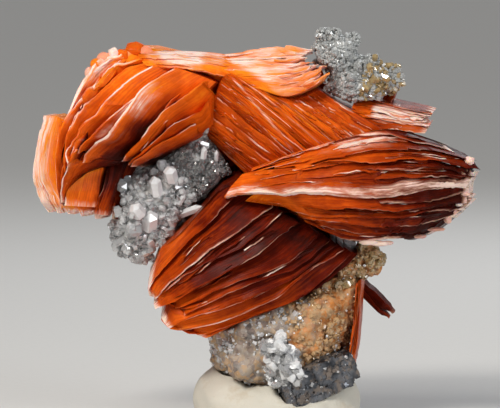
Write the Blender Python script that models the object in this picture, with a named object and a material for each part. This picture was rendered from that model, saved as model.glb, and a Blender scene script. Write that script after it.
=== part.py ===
"""Cerussite with barite and galena: fans of orange barite blades grown on a rock of galena and
limonite, with crusts of clear cerussite crystals, standing in the lump of putty that holds it up.

Sizes and places are in millimetres here, and become metres where each mesh is made. +Z is up, +X is
to the right and +Y runs away from the viewer. The origin is the centre of the putty's flat underside.
"""

import math
import random
from dataclasses import dataclass

import bmesh
import bpy
from mathutils import Matrix, Vector, noise

MM = 0.001
GAP = 0.3  # clearance between two pieces that touch
UP = Vector((0, 0, 1))

# Base colours of the minerals.
BARITE_BRIGHT = (0.80, 0.28, 0.06)
BARITE_DEEP = (0.40, 0.09, 0.02)
CERUSSITE = (0.72, 0.73, 0.70)
CERUSSITE_GREY = (0.42, 0.43, 0.41)
GALENA = (0.16, 0.17, 0.18)
LIMONITE = (0.47, 0.30, 0.15)
PUTTY = (0.80, 0.79, 0.72)


@dataclass
class Fan:
    """A sheaf of barite blades.

    Each guide is the front edge of one blade, from its root to its tip, and the blades between two
    guides are blended from them. Every blade runs back from its front edge along `back`.
    """

    name: str
    guides: tuple
    back: tuple  # direction in which the blades run into the specimen
    depth: tuple  # how far they run that way, at the root and at the tip
    blades: int
    relief: float  # how far a blade's edge stands before or behind the fan's front
    lean: float  # how much nearer a blade's first side is than its other side
    ragged: float  # largest share of the length that a blade falls short of its guide
    seed: int


RIGHT_FAN = Fan(
    name="right_barite_fan",
    guides=(
        (
            (-4.1, -7.0, 34.5), (1.1, -9.0, 36.5), (7.8, -10.0, 38.6),
            (15.3, -8.5, 40.0), (23.6, -4.0, 37.4),
        ),
        (
            (-5.3, -8.0, 33.3), (1.8, -11.0, 34.8), (9.9, -12.5, 36.1),
            (19.3, -10.0, 36.1), (26.8, -4.0, 35.0),
        ),
        (
            (-6.9, -8.0, 30.6), (-0.3, -11.5, 32.3), (8.5, -13.0, 32.5),
            (18.0, -10.5, 32.7), (25.9, -4.5, 32.0),
        ),
        (
            (-0.9, -8.5, 30.2), (3.1, -10.5, 29.6), (9.9, -12.0, 28.6),
            (18.0, -10.0, 28.9), (25.2, -4.5, 29.5),
        ),
        (
            (1.1, -7.5, 29.7), (4.5, -8.5, 27.1), (9.2, -9.0, 25.2),
            (15.3, -8.0, 24.4), (21.2, -4.0, 26.1),
        ),
    ),
    back=(0.10, 1.0, 0.0),
    depth=(10.0, 12.0),
    blades=11,
    relief=0.55,
    lean=0.0,
    ragged=0.07,
    seed=3,
)

LOWER_FAN = Fan(
    name="lower_barite_fan",
    guides=(
        (
            (-4.6, -5.0, 33.3), (-7.4, -6.0, 32.0), (-10.0, -6.0, 29.3),
            (-13.1, -6.0, 25.8), (-16.2, -5.0, 23.3),
        ),
        (
            (1.1, -6.0, 30.1), (-3.6, -8.0, 29.0), (-8.8, -9.0, 25.4),
            (-13.4, -9.0, 21.4), (-17.6, -7.0, 18.2),
        ),
        (
            (5.5, -5.5, 27.7), (-0.3, -8.5, 27.3), (-6.3, -10.0, 23.8),
            (-11.7, -9.5, 19.6), (-16.3, -7.5, 17.0),
        ),
        (
            (8.5, -5.0, 25.2), (3.1, -8.0, 24.4), (-3.6, -10.0, 21.0),
            (-9.7, -9.5, 17.8), (-16.2, -7.5, 15.9),
        ),
        (
            (10.1, -4.5, 24.1), (5.1, -7.0, 21.6), (-1.2, -9.0, 18.2),
            (-7.7, -9.0, 15.7), (-14.5, -7.5, 13.3),
        ),
        (
            (11.3, -4.0, 23.5), (7.8, -5.5, 19.7), (2.0, -7.0, 16.6),
            (-4.3, -7.0, 14.3), (-9.9, -6.0, 11.3),
        ),
    ),
    back=(0.0, 1.0, 0.10),
    depth=(9.0, 11.0),
    blades=10,
    relief=0.5,
    lean=0.15,
    ragged=0.09,
    seed=8,
)

CENTRAL_BOOK = Fan(
    name="central_barite_book",
    guides=(
        ((5.6, -1.5, 44.9), (9.2, -3.0, 42.7), (14.0, -4.5, 39.8)),
        ((1.1, -4.0, 43.8), (4.9, -5.0, 41.3), (9.6, -6.0, 37.8)),
        ((-6.1, -6.0, 47.2), (-1.0, -6.5, 43.7), (6.6, -7.0, 37.6)),
        ((-8.0, -5.0, 45.0), (-4.0, -6.0, 42.0), (2.6, -6.5, 36.4)),
        ((-9.5, -3.0, 40.2), (-6.1, -3.5, 37.6), (-1.2, -4.5, 34.0)),
        ((-9.3, -1.5, 38.4), (-6.6, -2.0, 35.9), (-3.4, -3.0, 32.8)),
    ),
    back=(-0.10, 1.0, 0.10),
    depth=(9.0, 9.0),
    blades=9,
    relief=0.35,
    lean=0.1,
    ragged=0.03,
    seed=5,
)

LEFT_FAN = Fan(
    name="left_barite_fan",
    guides=(
        (
            (-20.4, -1.5, 50.7), (-24.3, -3.5, 48.3), (-26.9, -5.0, 44.5),
            (-28.4, -6.5, 40.5), (-29.4, -6.5, 36.0), (-29.3, -5.0, 30.2),
        ),
        (
            (-17.8, -2.5, 50.3), (-21.2, -5.0, 46.2), (-24.3, -7.0, 42.2),
            (-26.8, -8.5, 38.8), (-28.2, -8.0, 35.0), (-28.9, -6.0, 30.0),
        ),
        (
            (-14.2, -3.5, 49.2), (-17.6, -7.0, 45.6), (-20.6, -9.0, 41.7),
            (-23.6, -9.0, 38.6), (-25.4, -8.0, 36.4), (-26.8, -6.5, 32.8),
        ),
        (
            (-11.7, -4.0, 47.3), (-14.6, -7.0, 44.2), (-17.1, -8.0, 40.4),
            (-19.4, -7.5, 37.7), (-21.4, -7.0, 35.9), (-23.5, -5.5, 34.0),
        ),
        (
            (-9.2, -4.0, 45.9), (-11.4, -6.5, 43.0), (-14.2, -7.0, 39.6),
            (-16.6, -6.5, 37.2), (-18.6, -6.0, 35.6), (-20.6, -5.0, 34.0),
        ),
        (
            (-8.9, -2.5, 43.0), (-10.2, -3.5, 41.1), (-12.4, -4.0, 39.0),
            (-14.6, -4.0, 37.5), (-16.6, -4.0, 36.2), (-18.6, -3.5, 34.9),
        ),
    ),
    back=(0.35, 1.0, -0.05),
    depth=(8.0, 9.0),
    blades=8,
    relief=0.45,
    lean=1.0,
    ragged=0.06,
    seed=11,
)

OUTER_BLADES = Fan(
    name="outer_left_blades",
    guides=(
        (
            (-31.4, -0.5, 41.6), (-32.2, -2.0, 38.2), (-32.8, -2.5, 33.6),
            (-32.3, -2.0, 30.8), (-31.2, -1.5, 28.0),
        ),
        (
            (-29.6, -2.2, 41.4), (-30.4, -3.6, 38.0), (-30.8, -4.0, 33.6),
            (-29.6, -3.6, 30.6), (-28.2, -3.2, 27.8),
        ),
        (
            (-27.6, -2.2, 40.4), (-27.2, -3.4, 37.2), (-26.6, -3.6, 33.4),
            (-25.4, -3.4, 30.4), (-24.8, -3.2, 27.4),
        ),
        (
            (-20.0, 0.8, 38.0), (-18.8, 0.8, 35.0), (-20.4, -0.4, 32.2),
            (-20.8, -1.4, 29.6), (-21.2, -1.6, 27.0),
        ),
    ),
    back=(0.25, 1.0, 0.0),
    depth=(5.0, 8.0),
    blades=4,
    relief=0.2,
    lean=0.35,
    ragged=0.03,
    seed=14,
)

TOP_BLADES = Fan(
    name="top_barite_blades",
    guides=(
        (
            (-8.4, -4.8, 45.4), (-3.4, -5.9, 45.4), (1.1, -5.5, 44.3),
            (4.7, -5.0, 45.5), (7.4, -4.0, 47.4),
        ),
        (
            (-9.6, -5.0, 47.0), (-5.4, -5.5, 46.9), (-1.0, -5.0, 46.6),
            (3.0, -4.5, 47.0), (6.7, -3.5, 48.6),
        ),
        (
            (-11.0, -4.6, 48.2), (-8.8, -4.4, 48.6), (-4.3, -4.0, 48.6),
            (1.1, -3.5, 48.6), (5.0, -2.5, 49.0),
        ),
        (
            (-16.0, -2.6, 49.7), (-12.0, -2.4, 49.7), (-7.4, -1.8, 49.9),
            (-1.0, -1.0, 51.0), (4.9, 0.0, 50.5),
        ),
    ),
    back=(0.0, 1.0, -0.12),
    depth=(8.0, 7.0),
    blades=4,
    relief=0.2,
    lean=0.25,
    ragged=0.06,
    seed=21,
)

BACK_RIGHT_BLADES = Fan(
    name="back_right_blades",
    guides=(
        ((10.5, 0.8, 44.0), (14.0, 0.6, 43.2), (17.3, 0.6, 42.3), (21.4, 1.0, 41.4)),
        ((10.0, -1.5, 42.4), (13.8, -1.5, 41.7), (17.2, -1.0, 41.0), (20.6, -0.3, 40.5)),
        ((9.5, -3.0, 40.6), (13.4, -3.0, 40.2), (16.6, -2.6, 39.8), (20.2, -1.8, 39.4)),
        ((9.5, -4.0, 39.0), (13.0, -4.4, 38.6), (16.0, -4.2, 38.2), (18.8, -3.2, 38.0)),
    ),
    back=(0.15, 1.0, 0.1),
    depth=(8.0, 5.0),
    blades=4,
    relief=0.25,
    lean=0.3,
    ragged=0.12,
    seed=25,
)
UPRIGHT_BLADE = Fan(
    name="upright_blade",
    guides=(
        ((14.6, 2.0, 41.5), (16.4, 2.4, 44.6), (16.9, 2.8, 47.0)),
        ((13.4, 3.0, 41.5), (14.8, 3.6, 44.6), (15.6, 4.0, 46.6)),
    ),
    back=(0.1, 1.0, 0.0),
    depth=(4.0, 2.5),
    blades=1,
    relief=0.0,
    lean=0.0,
    ragged=0.0,
    seed=27,
)

REAR_FAN = Fan(
    name="rear_barite_fan",
    guides=(
        ((6.0, 8.5, 47.5), (1.0, 10.0, 48.0), (-5.0, 10.5, 46.5), (-11.0, 8.5, 43.5)),
        ((8.0, 9.5, 42.0), (1.5, 12.0, 42.5), (-6.5, 12.5, 40.5), (-14.0, 9.0, 37.0)),
        ((8.5, 9.5, 36.5), (1.5, 12.5, 35.5), (-7.0, 12.5, 33.0), (-15.5, 8.5, 31.0)),
        ((7.5, 8.5, 31.0), (1.5, 10.5, 29.0), (-6.0, 10.5, 26.5), (-13.0, 7.5, 25.5)),
    ),
    back=(0.05, -1.0, 0.0),
    depth=(5.0, 5.0),
    blades=4,
    relief=0.5,
    lean=0.1,
    ragged=0.08,
    seed=31,
)

# Single blades at the lower right: the free one behind the rock, and the sheet on its right side.
FREE_BLADE = Fan(
    name="small_free_blade",
    guides=(
        ((7.4, 4.6, 22.8), (11.9, 5.3, 19.0), (16.2, 5.2, 14.8)),
        ((7.0, 4.9, 21.6), (11.3, 5.7, 17.9), (15.6, 5.5, 13.9)),
    ),
    back=(0.1, 1.0, 0.1),
    depth=(3.0, 2.5),
    blades=1,
    relief=0.0,
    lean=0.0,
    ragged=0.0,
    seed=41,
)
SIDE_SHEET = Fan(
    name="side_barite_sheet",
    guides=(
        ((11.5, -2.4, 19.6), (11.4, -3.0, 15.4), (11.0, -3.2, 11.0), (10.2, -2.8, 7.2)),
        ((10.6, -4.0, 19.2), (10.3, -4.7, 15.2), (9.8, -4.8, 11.0), (9.3, -4.2, 7.4)),
    ),
    back=(0.10, 1.0, 0.0),
    depth=(7.0, 5.0),
    blades=1,
    relief=0.0,
    lean=0.0,
    ragged=0.0,
    seed=43,
)

# The first of these is joined by the others.
GROWN_TOGETHER = (
    RIGHT_FAN,
    LOWER_FAN,
    CENTRAL_BOOK,
    LEFT_FAN,
    OUTER_BLADES,
    TOP_BLADES,
    BACK_RIGHT_BLADES,
    UPRIGHT_BLADE,
    REAR_FAN,
)
STANDING_ALONE = (FREE_BLADE, SIDE_SHEET)


@dataclass
class Lump:
    """A rounded mass of mineral: an ellipsoid that noise makes uneven."""

    centre: tuple
    radii: tuple


@dataclass
class Druse:
    """Cerussite crystals that stand all over one side of a few lumps, grown into one crust."""

    name: str
    lumps: tuple
    facing: tuple  # the side of each lump that carries crystals
    spread: float  # how far round from that side they stand, in degrees
    crystals: int  # for each lump
    width: tuple  # smallest and largest, across the flats
    length: tuple
    seed: int


ROCK_LUMPS = (
    Lump((0.6, 0.2, 12.8), (9.9, 7.4, 10.2)),
    Lump((-2.0, 3.0, 24.0), (11.0, 5.4, 10.5)),
    Lump((8.8, 0.8, 22.2), (5.4, 4.2, 3.4)),
    Lump((9.0, 0.2, 16.8), (2.9, 3.8, 5.0)),
)

GALENA_CUBES = (
    ((5.3, -4.6, 6.3), (7.6, 4.6, 4.0)),
    ((2.4, -5.3, 5.2), (4.2, 3.8, 3.6)),
    ((8.2, -4.0, 7.6), (3.6, 4.2, 3.2)),
    ((6.2, -6.0, 7.5), (3.0, 2.6, 2.6)),
    ((3.6, -6.3, 6.6), (2.2, 2.0, 2.2)),
)
GALENA_TURN = (math.radians(8), math.radians(-24), math.radians(14))

POCKET = Druse(
    name="cerussite_pocket",
    lumps=(
        Lump((-16.8, 1.2, 30.0), (5.6, 4.6, 5.0)),
        Lump((-11.4, 1.0, 34.0), (5.4, 4.4, 4.6)),
        Lump((-18.2, 1.4, 25.4), (4.0, 4.2, 3.8)),
        Lump((-10.4, 1.2, 38.8), (2.8, 3.8, 3.0)),
    ),
    facing=(-0.25, -1.0, 0.1),
    spread=72.0,
    crystals=5,
    width=(1.7, 2.9),
    length=(1.3, 2.4),
    seed=52,
)
KNOB = Druse(
    name="cerussite_knob",
    lumps=(
        Lump((7.6, 2.4, 49.0), (3.3, 3.0, 3.3)),
        Lump((10.4, 2.8, 47.0), (2.8, 2.6, 2.4)),
        Lump((13.4, 2.2, 46.0), (2.3, 2.1, 2.1)),
        Lump((10.2, 1.4, 44.8), (4.2, 3.0, 2.0)),
    ),
    facing=(0.1, -0.5, 0.85),
    spread=100.0,
    crystals=5,
    width=(1.2, 2.0),
    length=(0.9, 1.5),
    seed=57,
)
CLUSTER = Druse(
    name="cerussite_cluster",
    lumps=(Lump((0.8, -7.2, 8.3), (2.3, 1.8, 3.0)),),
    facing=(0.0, -1.0, 0.1),
    spread=80.0,
    crystals=7,
    width=(1.3, 2.2),
    length=(0.9, 1.8),
    seed=61,
)
DRUSES = (POCKET, KNOB, CLUSTER)

PUTTY_HALF_WIDTH = 11.3
PUTTY_HALF_DEPTH = 9.0
PUTTY_HEIGHT = 9.4
PUTTY_WAIST = 1.2  # height at which the putty is widest
PUTTY_FRONT_DROP = 0.85  # share of its height that it loses towards the front
PUTTY_DENT = 0.05  # depth of its dents, as a share of its size
PUTTY_DENTS = 2.2  # how many there are across it
PUTTY_SHOULDER = 3  # power that squares its shoulders: 2 would leave an ellipsoid

TIP_SHARE = 0.45  # height of a crystal's pyramid, as a share of its width
LEAN = 0.6  # how far a crystal may lean from square, as a share of its direction
ROOT_SHARE = 0.8  # how far out in its lump a crystal is rooted, as a share of the lump's radius
ROW_SHARE = 0.80  # share of a blade's thickness that its edge takes up, before the groove to the next
GROOVE = 0.9  # depth of that groove
SLIVER = 2e-7  # metres: vertices this close after a cut are one
BUMPS_PER_MM = 0.32  # on the rock and the lumps under the crystals
BUMP_HEIGHT = 0.16  # as a share of the lump's radius


def clear_scene():
    for obj in list(bpy.data.objects):
        bpy.data.objects.remove(obj)


def new_collection(name):
    made = bpy.data.collections.new(name)
    bpy.context.scene.collection.children.link(made)
    return made


def mineral(name, colour, roughness, metallic=0.0, transmission=0.0, ior=1.6):
    """A Principled material of one mineral."""
    material = bpy.data.materials.new(name)
    material.use_nodes = True
    shader = material.node_tree.nodes["Principled BSDF"].inputs
    shader["Base Color"].default_value = (*colour, 1)
    shader["Roughness"].default_value = roughness
    shader["Metallic"].default_value = metallic
    shader["Transmission Weight"].default_value = transmission
    shader["IOR"].default_value = ior
    return material


def new_object(name, bm, place, material=None):
    """Turns a bmesh in millimetres into an object in metres."""
    bmesh.ops.recalc_face_normals(bm, faces=bm.faces)
    bmesh.ops.scale(bm, vec=(MM, MM, MM), verts=bm.verts)
    mesh = bpy.data.meshes.new(name)
    bm.to_mesh(mesh)
    bm.free()
    if material:
        mesh.materials.append(material)
    obj = bpy.data.objects.new(name, mesh)
    place.objects.link(obj)
    return obj


def helper(name, bm, place):
    """An object that only cuts or joins others."""
    obj = new_object(name, bm, place)
    obj.hide_render = True
    obj.display_type = "WIRE"
    return obj


def boolean(obj, others, operation):
    """Joins a whole collection of closed shapes to the object, or cuts them all from it.

    The exact solver leaves open crumbs where this many blades and crystals cross, so the solver is
    the manifold one.
    """
    modifier = obj.modifiers.new(f"{operation.lower()} {others.name}", "BOOLEAN")
    modifier.operand_type = "COLLECTION"
    modifier.collection = others
    modifier.operation = operation
    modifier.solver = "MANIFOLD"


def along(points, share):
    """The point at a share of the way along a smooth curve through evenly spaced points."""
    last = len(points) - 1
    start = min(max(math.floor(share * last), 0), last - 1)
    t = share * last - start
    here = Vector(points[start])
    after = Vector(points[start + 1])
    before = Vector(points[start - 1]) if start else 2 * here - after
    beyond = Vector(points[start + 2]) if start + 2 <= last else 2 * after - here
    bend = 2 * before - 5 * here + 4 * after - beyond
    twist = 3 * here - before - 3 * after + beyond
    return 0.5 * (2 * here + (after - before) * t + bend * t**2 + twist * t**3)


def front_of(fan, length_share, side_share):
    """A point on the smooth surface that the blades' front edges follow."""
    return along([along(guide, length_share) for guide in fan.guides], side_share)


def blade_rows(fan):
    """(side share, how far forward, share of the length) of each line that runs from root to tip."""
    rng = random.Random(fan.seed)
    rows = []
    for blade in range(fan.blades):
        lift = rng.uniform(-fan.relief, fan.relief)
        reach = 1 - rng.uniform(0, fan.ragged)
        rows.append((blade / fan.blades, lift + fan.lean, reach))
        rows.append(((blade + ROW_SHARE) / fan.blades, lift - fan.lean, reach))
        if blade < fan.blades - 1:
            groove = (blade + (1 + ROW_SHARE) / 2) / fan.blades
            rows.append((groove, lift - fan.lean - GROOVE, reach - fan.ragged))
    side, forward, reach = rows[-1]
    rows[-1] = (1.0, forward, reach)
    return rows


def slab(fan, rows, starts_at, grow=0.0):
    """A closed sheaf: a front that follows the rows, copied back along the blades and joined to it.

    It has a station along its length for each point of a guide.
    """
    back = Vector(fan.back).normalized()
    bm = bmesh.new()
    bmesh.ops.create_grid(bm, x_segments=len(rows) - 1, y_segments=len(fan.guides[0]) - 1, size=1)
    step_back = bm.verts.layers.float.new("step_back")
    for vert in bm.verts:
        side, forward, reach = rows[round((vert.co.x + 1) / 2 * (len(rows) - 1))]
        share = starts_at + (vert.co.y + 1) / 2 * (reach - starts_at)
        depth = fan.depth[0] + (fan.depth[1] - fan.depth[0]) * share
        vert.co = front_of(fan, share, side) - back * forward
        vert[step_back] = depth + 2 * forward + grow
    rear = bmesh.ops.extrude_face_region(bm, geom=bm.faces[:])
    for vert in rear["geom"]:
        if isinstance(vert, bmesh.types.BMVert):
            vert.co += back * vert[step_back]
    return bm


def fan_blades(fan):
    return slab(fan, blade_rows(fan), 0.0)


def fan_room(fan):
    """The smooth space that a fan takes up, with a gap all round it."""
    span = (front_of(fan, 1, 0.5) - front_of(fan, 0, 0.5)).length
    height = (front_of(fan, 0.5, 1) - front_of(fan, 0.5, 0)).length
    forward = fan.relief + abs(fan.lean) + GAP
    sides = len(fan.guides) * 2
    end = 1 + GAP / span
    margin = GAP / height
    rows = [(-margin + (1 + 2 * margin) * i / sides, forward, end) for i in range(sides + 1)]
    return slab(fan, rows, -GAP / span, GAP)


def lump_shape(lump, detail, grow=0.0):
    """An uneven ellipsoid."""
    bm = bmesh.new()
    bmesh.ops.create_icosphere(bm, subdivisions=detail, radius=1)
    for vert in bm.verts:
        direction = vert.co.normalized()
        surface = Vector(d * r for d, r in zip(direction, lump.radii))
        bump = noise.noise((Vector(lump.centre) + surface) * BUMPS_PER_MM)
        vert.co = Vector(lump.centre) + surface * (1 + BUMP_HEIGHT * bump) + direction * grow
    return bm


def galena_cube(centre, size, grow=0.0):
    """One of the stepped cubes, all turned alike, that galena breaks into."""
    turn = Matrix.Rotation(GALENA_TURN[2], 4, "Z") @ Matrix.Rotation(GALENA_TURN[1], 4, "Y")
    turn = turn @ Matrix.Rotation(GALENA_TURN[0], 4, "X")
    sides = Matrix.Diagonal((*(side + 2 * grow for side in size), 1))
    bm = bmesh.new()
    bmesh.ops.create_cube(bm, size=1, matrix=Matrix.Translation(centre) @ turn @ sides)
    return bm


def crystal(root, direction, width, length, spin):
    """A six-sided prism with a pyramid at its tip."""
    turn = direction.to_track_quat("Z", "Y").to_matrix().to_4x4() @ Matrix.Rotation(spin, 4, "Z")
    bm = bmesh.new()
    bmesh.ops.create_cone(
        bm,
        cap_ends=True,
        segments=6,
        radius1=width / 2,
        radius2=width / 2,
        depth=length,
        matrix=Matrix.Translation(root + direction * length / 2) @ turn,
    )
    cap = max(bm.faces, key=lambda face: face.calc_center_median().dot(direction))
    tip = bmesh.ops.poke(bm, faces=[cap])["verts"][0]
    tip.co += direction * width * TIP_SHARE
    return bm


def druse_crystals(druse, grow=0.0):
    """The crystals of a druse, each standing roughly square to the lump that it grows from."""
    rng = random.Random(druse.seed)
    facing = Vector(druse.facing).normalized()
    least = math.cos(math.radians(druse.spread))
    for lump in druse.lumps:
        placed = 0
        while placed < druse.crystals:
            direction = Vector(rng.gauss(0, 1) for _ in range(3)).normalized()
            if direction.dot(facing) < least:
                continue
            lean = (direction + LEAN * Vector(rng.uniform(-1, 1) for _ in range(3))).normalized()
            root = Vector(lump.centre) + Vector(d * r * ROOT_SHARE for d, r in zip(direction, lump.radii))
            width = rng.uniform(*druse.width) + 2 * grow
            length = rng.uniform(*druse.length) + grow
            yield crystal(root, lean, width, length, rng.uniform(0, math.pi))
            placed += 1


def putty():
    """A lump pressed flat underneath, lower in front where the rock hangs over it."""
    bm = bmesh.new()
    bmesh.ops.create_icosphere(bm, subdivisions=3, radius=1)
    for vert in bm.verts:
        dent = 1 + PUTTY_DENT * noise.noise(vert.co * PUTTY_DENTS)
        across = math.hypot(vert.co.x, vert.co.y)
        powers = across**PUTTY_SHOULDER + abs(vert.co.z) ** PUTTY_SHOULDER
        low = 1 - PUTTY_FRONT_DROP * max(-vert.co.y, 0)
        vert.co *= powers ** (-1 / PUTTY_SHOULDER) * dent
        vert.co.x *= PUTTY_HALF_WIDTH
        vert.co.y *= PUTTY_HALF_DEPTH
        vert.co.z = PUTTY_WAIST + vert.co.z * (PUTTY_HEIGHT - PUTTY_WAIST) * low
    cut = bmesh.ops.bisect_plane(
        bm, geom=bm.verts[:] + bm.edges[:] + bm.faces[:], plane_co=(0, 0, 0), plane_no=UP, clear_inner=True
    )
    rim = [item for item in cut["geom_cut"] if isinstance(item, bmesh.types.BMEdge)]
    bmesh.ops.contextual_create(bm, geom=rim)
    return bm


def without_folds(triangles):
    """The triangles left once those with no area go, and those that lie back to back on another."""
    kept = {}
    for triangle in triangles:
        corners = frozenset(triangle)
        if len(corners) < 3:
            continue
        if corners in kept:
            del kept[corners]
        else:
            kept[corners] = triangle
    return list(kept.values())


def largest_body(triangles):
    """The triangles of the largest body, bodies being joined along edges."""
    beside = {}
    for triangle in triangles:
        for corner in range(3):
            beside.setdefault(frozenset((triangle[corner], triangle[corner - 1])), []).append(triangle)
    left = set(triangles)
    largest = []
    while left:
        body = [left.pop()]
        for triangle in body:
            for corner in range(3):
                edge = frozenset((triangle[corner], triangle[corner - 1]))
                near = [other for other in beside[edge] if other in left]
                left.difference_update(near)
                body += near
        largest = max(largest, body, key=len)
    return largest


def apply_cuts(obj):
    """Applies the object's modifiers, then merges what they left closer than SLIVER and drops crumbs."""
    bpy.context.view_layer.update()
    evaluated = obj.evaluated_get(bpy.context.evaluated_depsgraph_get())
    mesh = evaluated.to_mesh()
    mesh.calc_loop_triangles()
    places = {}
    number = [
        places.setdefault(tuple(round(c / SLIVER) for c in vert.co), len(places)) for vert in mesh.vertices
    ]
    triangles = [tuple(number[corner] for corner in triangle.vertices) for triangle in mesh.loop_triangles]
    evaluated.to_mesh_clear()
    body = largest_body(without_folds(triangles))
    used = {corner: place for place, corner in enumerate(sorted({c for triangle in body for c in triangle}))}
    corners = list(places)
    cleaned = bpy.data.meshes.new(obj.name)
    cleaned.from_pydata(
        [[c * SLIVER for c in corners[corner]] for corner in used],
        [],
        [[used[corner] for corner in triangle] for triangle in body],
    )
    cleaned.materials.append(obj.data.materials[0])
    obj.modifiers.clear()
    obj.data = cleaned


def helpers_of(name, shapes, place):
    """A collection of helpers, one for each shape."""
    made = bpy.data.collections.new(name)
    place.children.link(made)
    for number, bm in enumerate(shapes):
        helper(f"{name}_{number}", bm, made)
    return made


def main():
    clear_scene()
    specimen = new_collection("cerussite_with_barite_and_galena")
    cutters = new_collection("cutters")

    barite = mineral("barite", BARITE_BRIGHT, 0.3)
    barite_deep = mineral("barite_deep", BARITE_DEEP, 0.3)
    clear = mineral("cerussite", CERUSSITE, 0.1, transmission=0.6, ior=2.0)
    grey = mineral("cerussite_grey", CERUSSITE_GREY, 0.2, transmission=0.2, ior=2.0)
    galena_grey = mineral("galena", GALENA, 0.35, metallic=1.0)
    limonite = mineral("limonite", LIMONITE, 0.85)
    putty_white = mineral("putty", PUTTY, 0.75)

    sheaves = helpers_of("sheaf", (fan_blades(fan) for fan in GROWN_TOGETHER[1:]), cutters)
    fans = GROWN_TOGETHER + STANDING_ALONE
    blade_rooms = helpers_of("blade_room", (fan_room(fan) for fan in fans), cutters)
    rock_rooms = helpers_of("rock_room", (lump_shape(lump, 3, GAP) for lump in ROCK_LUMPS), cutters)
    rock_shapes = helpers_of("rock", (lump_shape(lump, 3) for lump in ROCK_LUMPS[1:]), cutters)
    galena_rooms = helpers_of("galena_room", (galena_cube(*cube, GAP) for cube in GALENA_CUBES), cutters)
    galena_shapes = helpers_of("galena_cube", (galena_cube(*cube) for cube in GALENA_CUBES[1:]), cutters)

    blades = new_object("barite_blades", fan_blades(GROWN_TOGETHER[0]), specimen, barite)
    boolean(blades, sheaves, "UNION")
    apply_cuts(blades)

    for fan in STANDING_ALONE:
        new_object(fan.name, fan_blades(fan), specimen, barite_deep)

    matrix = new_object("limonite_matrix", lump_shape(ROCK_LUMPS[0], 3), specimen, limonite)
    boolean(matrix, rock_shapes, "UNION")
    boolean(matrix, blade_rooms, "DIFFERENCE")
    boolean(matrix, galena_rooms, "DIFFERENCE")
    apply_cuts(matrix)

    galena = new_object("galena", galena_cube(*GALENA_CUBES[0]), specimen, galena_grey)
    boolean(galena, galena_shapes, "UNION")
    boolean(galena, blade_rooms, "DIFFERENCE")
    apply_cuts(galena)

    for druse in DRUSES:
        lumps = [lump_shape(lump, 2) for lump in druse.lumps]
        crust = new_object(druse.name, lumps[0], specimen, grey if druse is KNOB else clear)
        grown = helpers_of(f"{druse.name}_part", [*lumps[1:], *druse_crystals(druse)], cutters)
        boolean(crust, grown, "UNION")
        for rooms in (blade_rooms, rock_rooms, galena_rooms):
            boolean(crust, rooms, "DIFFERENCE")
        apply_cuts(crust)

    cluster_lumps = (lump_shape(lump, 2, GAP) for lump in CLUSTER.lumps)
    cluster_rooms = helpers_of("cluster_room", [*cluster_lumps, *druse_crystals(CLUSTER, GAP)], cutters)
    base = new_object("putty_base", putty(), specimen, putty_white)
    for rooms in (rock_rooms, galena_rooms, blade_rooms, cluster_rooms):
        boolean(base, rooms, "DIFFERENCE")
    apply_cuts(base)


main()
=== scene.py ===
"""The look of a mineral specimen: sheaves of thin orange barite blades, crusts of clear cerussite
crystals, a rock of limonite and galena, and the lump of putty that holds it up.

Sizes and places are in millimetres here, and become metres where each mesh is made. They are in the
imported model's own frame: +Z is up, +X is to the right and +Y runs away from the viewer.
"""

import math
from dataclasses import dataclass

import bmesh
import bpy
import numpy as np
from mathutils import Matrix, Vector, noise
from mathutils.bvhtree import BVHTree


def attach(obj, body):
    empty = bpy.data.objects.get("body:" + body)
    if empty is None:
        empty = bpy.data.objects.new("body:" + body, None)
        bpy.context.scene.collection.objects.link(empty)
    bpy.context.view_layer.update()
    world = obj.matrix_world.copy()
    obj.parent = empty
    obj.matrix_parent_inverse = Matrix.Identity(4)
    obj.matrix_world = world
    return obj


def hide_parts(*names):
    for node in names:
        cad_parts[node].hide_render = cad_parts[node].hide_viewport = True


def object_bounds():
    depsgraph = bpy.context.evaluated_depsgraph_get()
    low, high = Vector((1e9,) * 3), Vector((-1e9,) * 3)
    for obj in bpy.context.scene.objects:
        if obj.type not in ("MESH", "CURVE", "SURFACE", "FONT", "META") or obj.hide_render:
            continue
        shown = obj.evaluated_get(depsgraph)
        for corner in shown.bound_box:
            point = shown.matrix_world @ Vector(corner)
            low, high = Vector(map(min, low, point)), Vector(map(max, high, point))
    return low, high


MM = 0.001
BODY = "root"

# The photograph's view.
PICTURE_WIDTH = 500  # pixels
MM_PER_PIXEL = 0.135
CAMERA_DISTANCE = 700.0
CAMERA_ELEVATION = math.radians(4)
CAMERA_AIM = (-3.65, 0.0, 29.43)
SENSOR_WIDTH = 36.0

# Base colours, linear.
ORANGE = (0.78, 0.125, 0.007)
AMBER = (0.92, 0.25, 0.012)
RUST = (0.40, 0.045, 0.003)
MAROON = (0.115, 0.008, 0.002)
SOOT = (0.034, 0.004, 0.002)
PEACH = (0.95, 0.44, 0.27)
CREAM = (0.96, 0.70, 0.60)
CRYSTAL_CLEAR = (0.95, 0.96, 0.97)
CRYSTAL_GREY = (0.84, 0.86, 0.85)
CRYSTAL_PAINTED_SHADE = (0.62, 0.62, 0.62)
# Painted shade: a darker grey copy of the clear crystals' colour, for those under the blades.
CRYSTAL_STAINED = (0.74, 0.55, 0.26)
CRYSTAL_TAN = (0.62, 0.40, 0.20)
CRUST_LIGHT = (0.62, 0.61, 0.59)
CRUST_DARK = (0.10, 0.10, 0.10)
LIMONITE_ORANGE = (0.56, 0.20, 0.04)
LIMONITE_TAN = (0.50, 0.33, 0.17)
LIMONITE_BROWN = (0.12, 0.055, 0.025)
ROCK_GREY = (0.34, 0.33, 0.31)
GALENA_LIGHT = (0.20, 0.21, 0.23)
GALENA_DARK = (0.045, 0.048, 0.055)
GALENA_DIRT = (0.17, 0.135, 0.11)
PUTTY_WHITE = (0.60, 0.57, 0.49)
PUTTY_STAIN = (0.50, 0.42, 0.30)
FLOOR = (0.70, 0.69, 0.67)
DAYLIGHT = (0.93, 0.96, 1.0)
LAMPLIGHT = (1.0, 0.96, 0.90)

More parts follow.
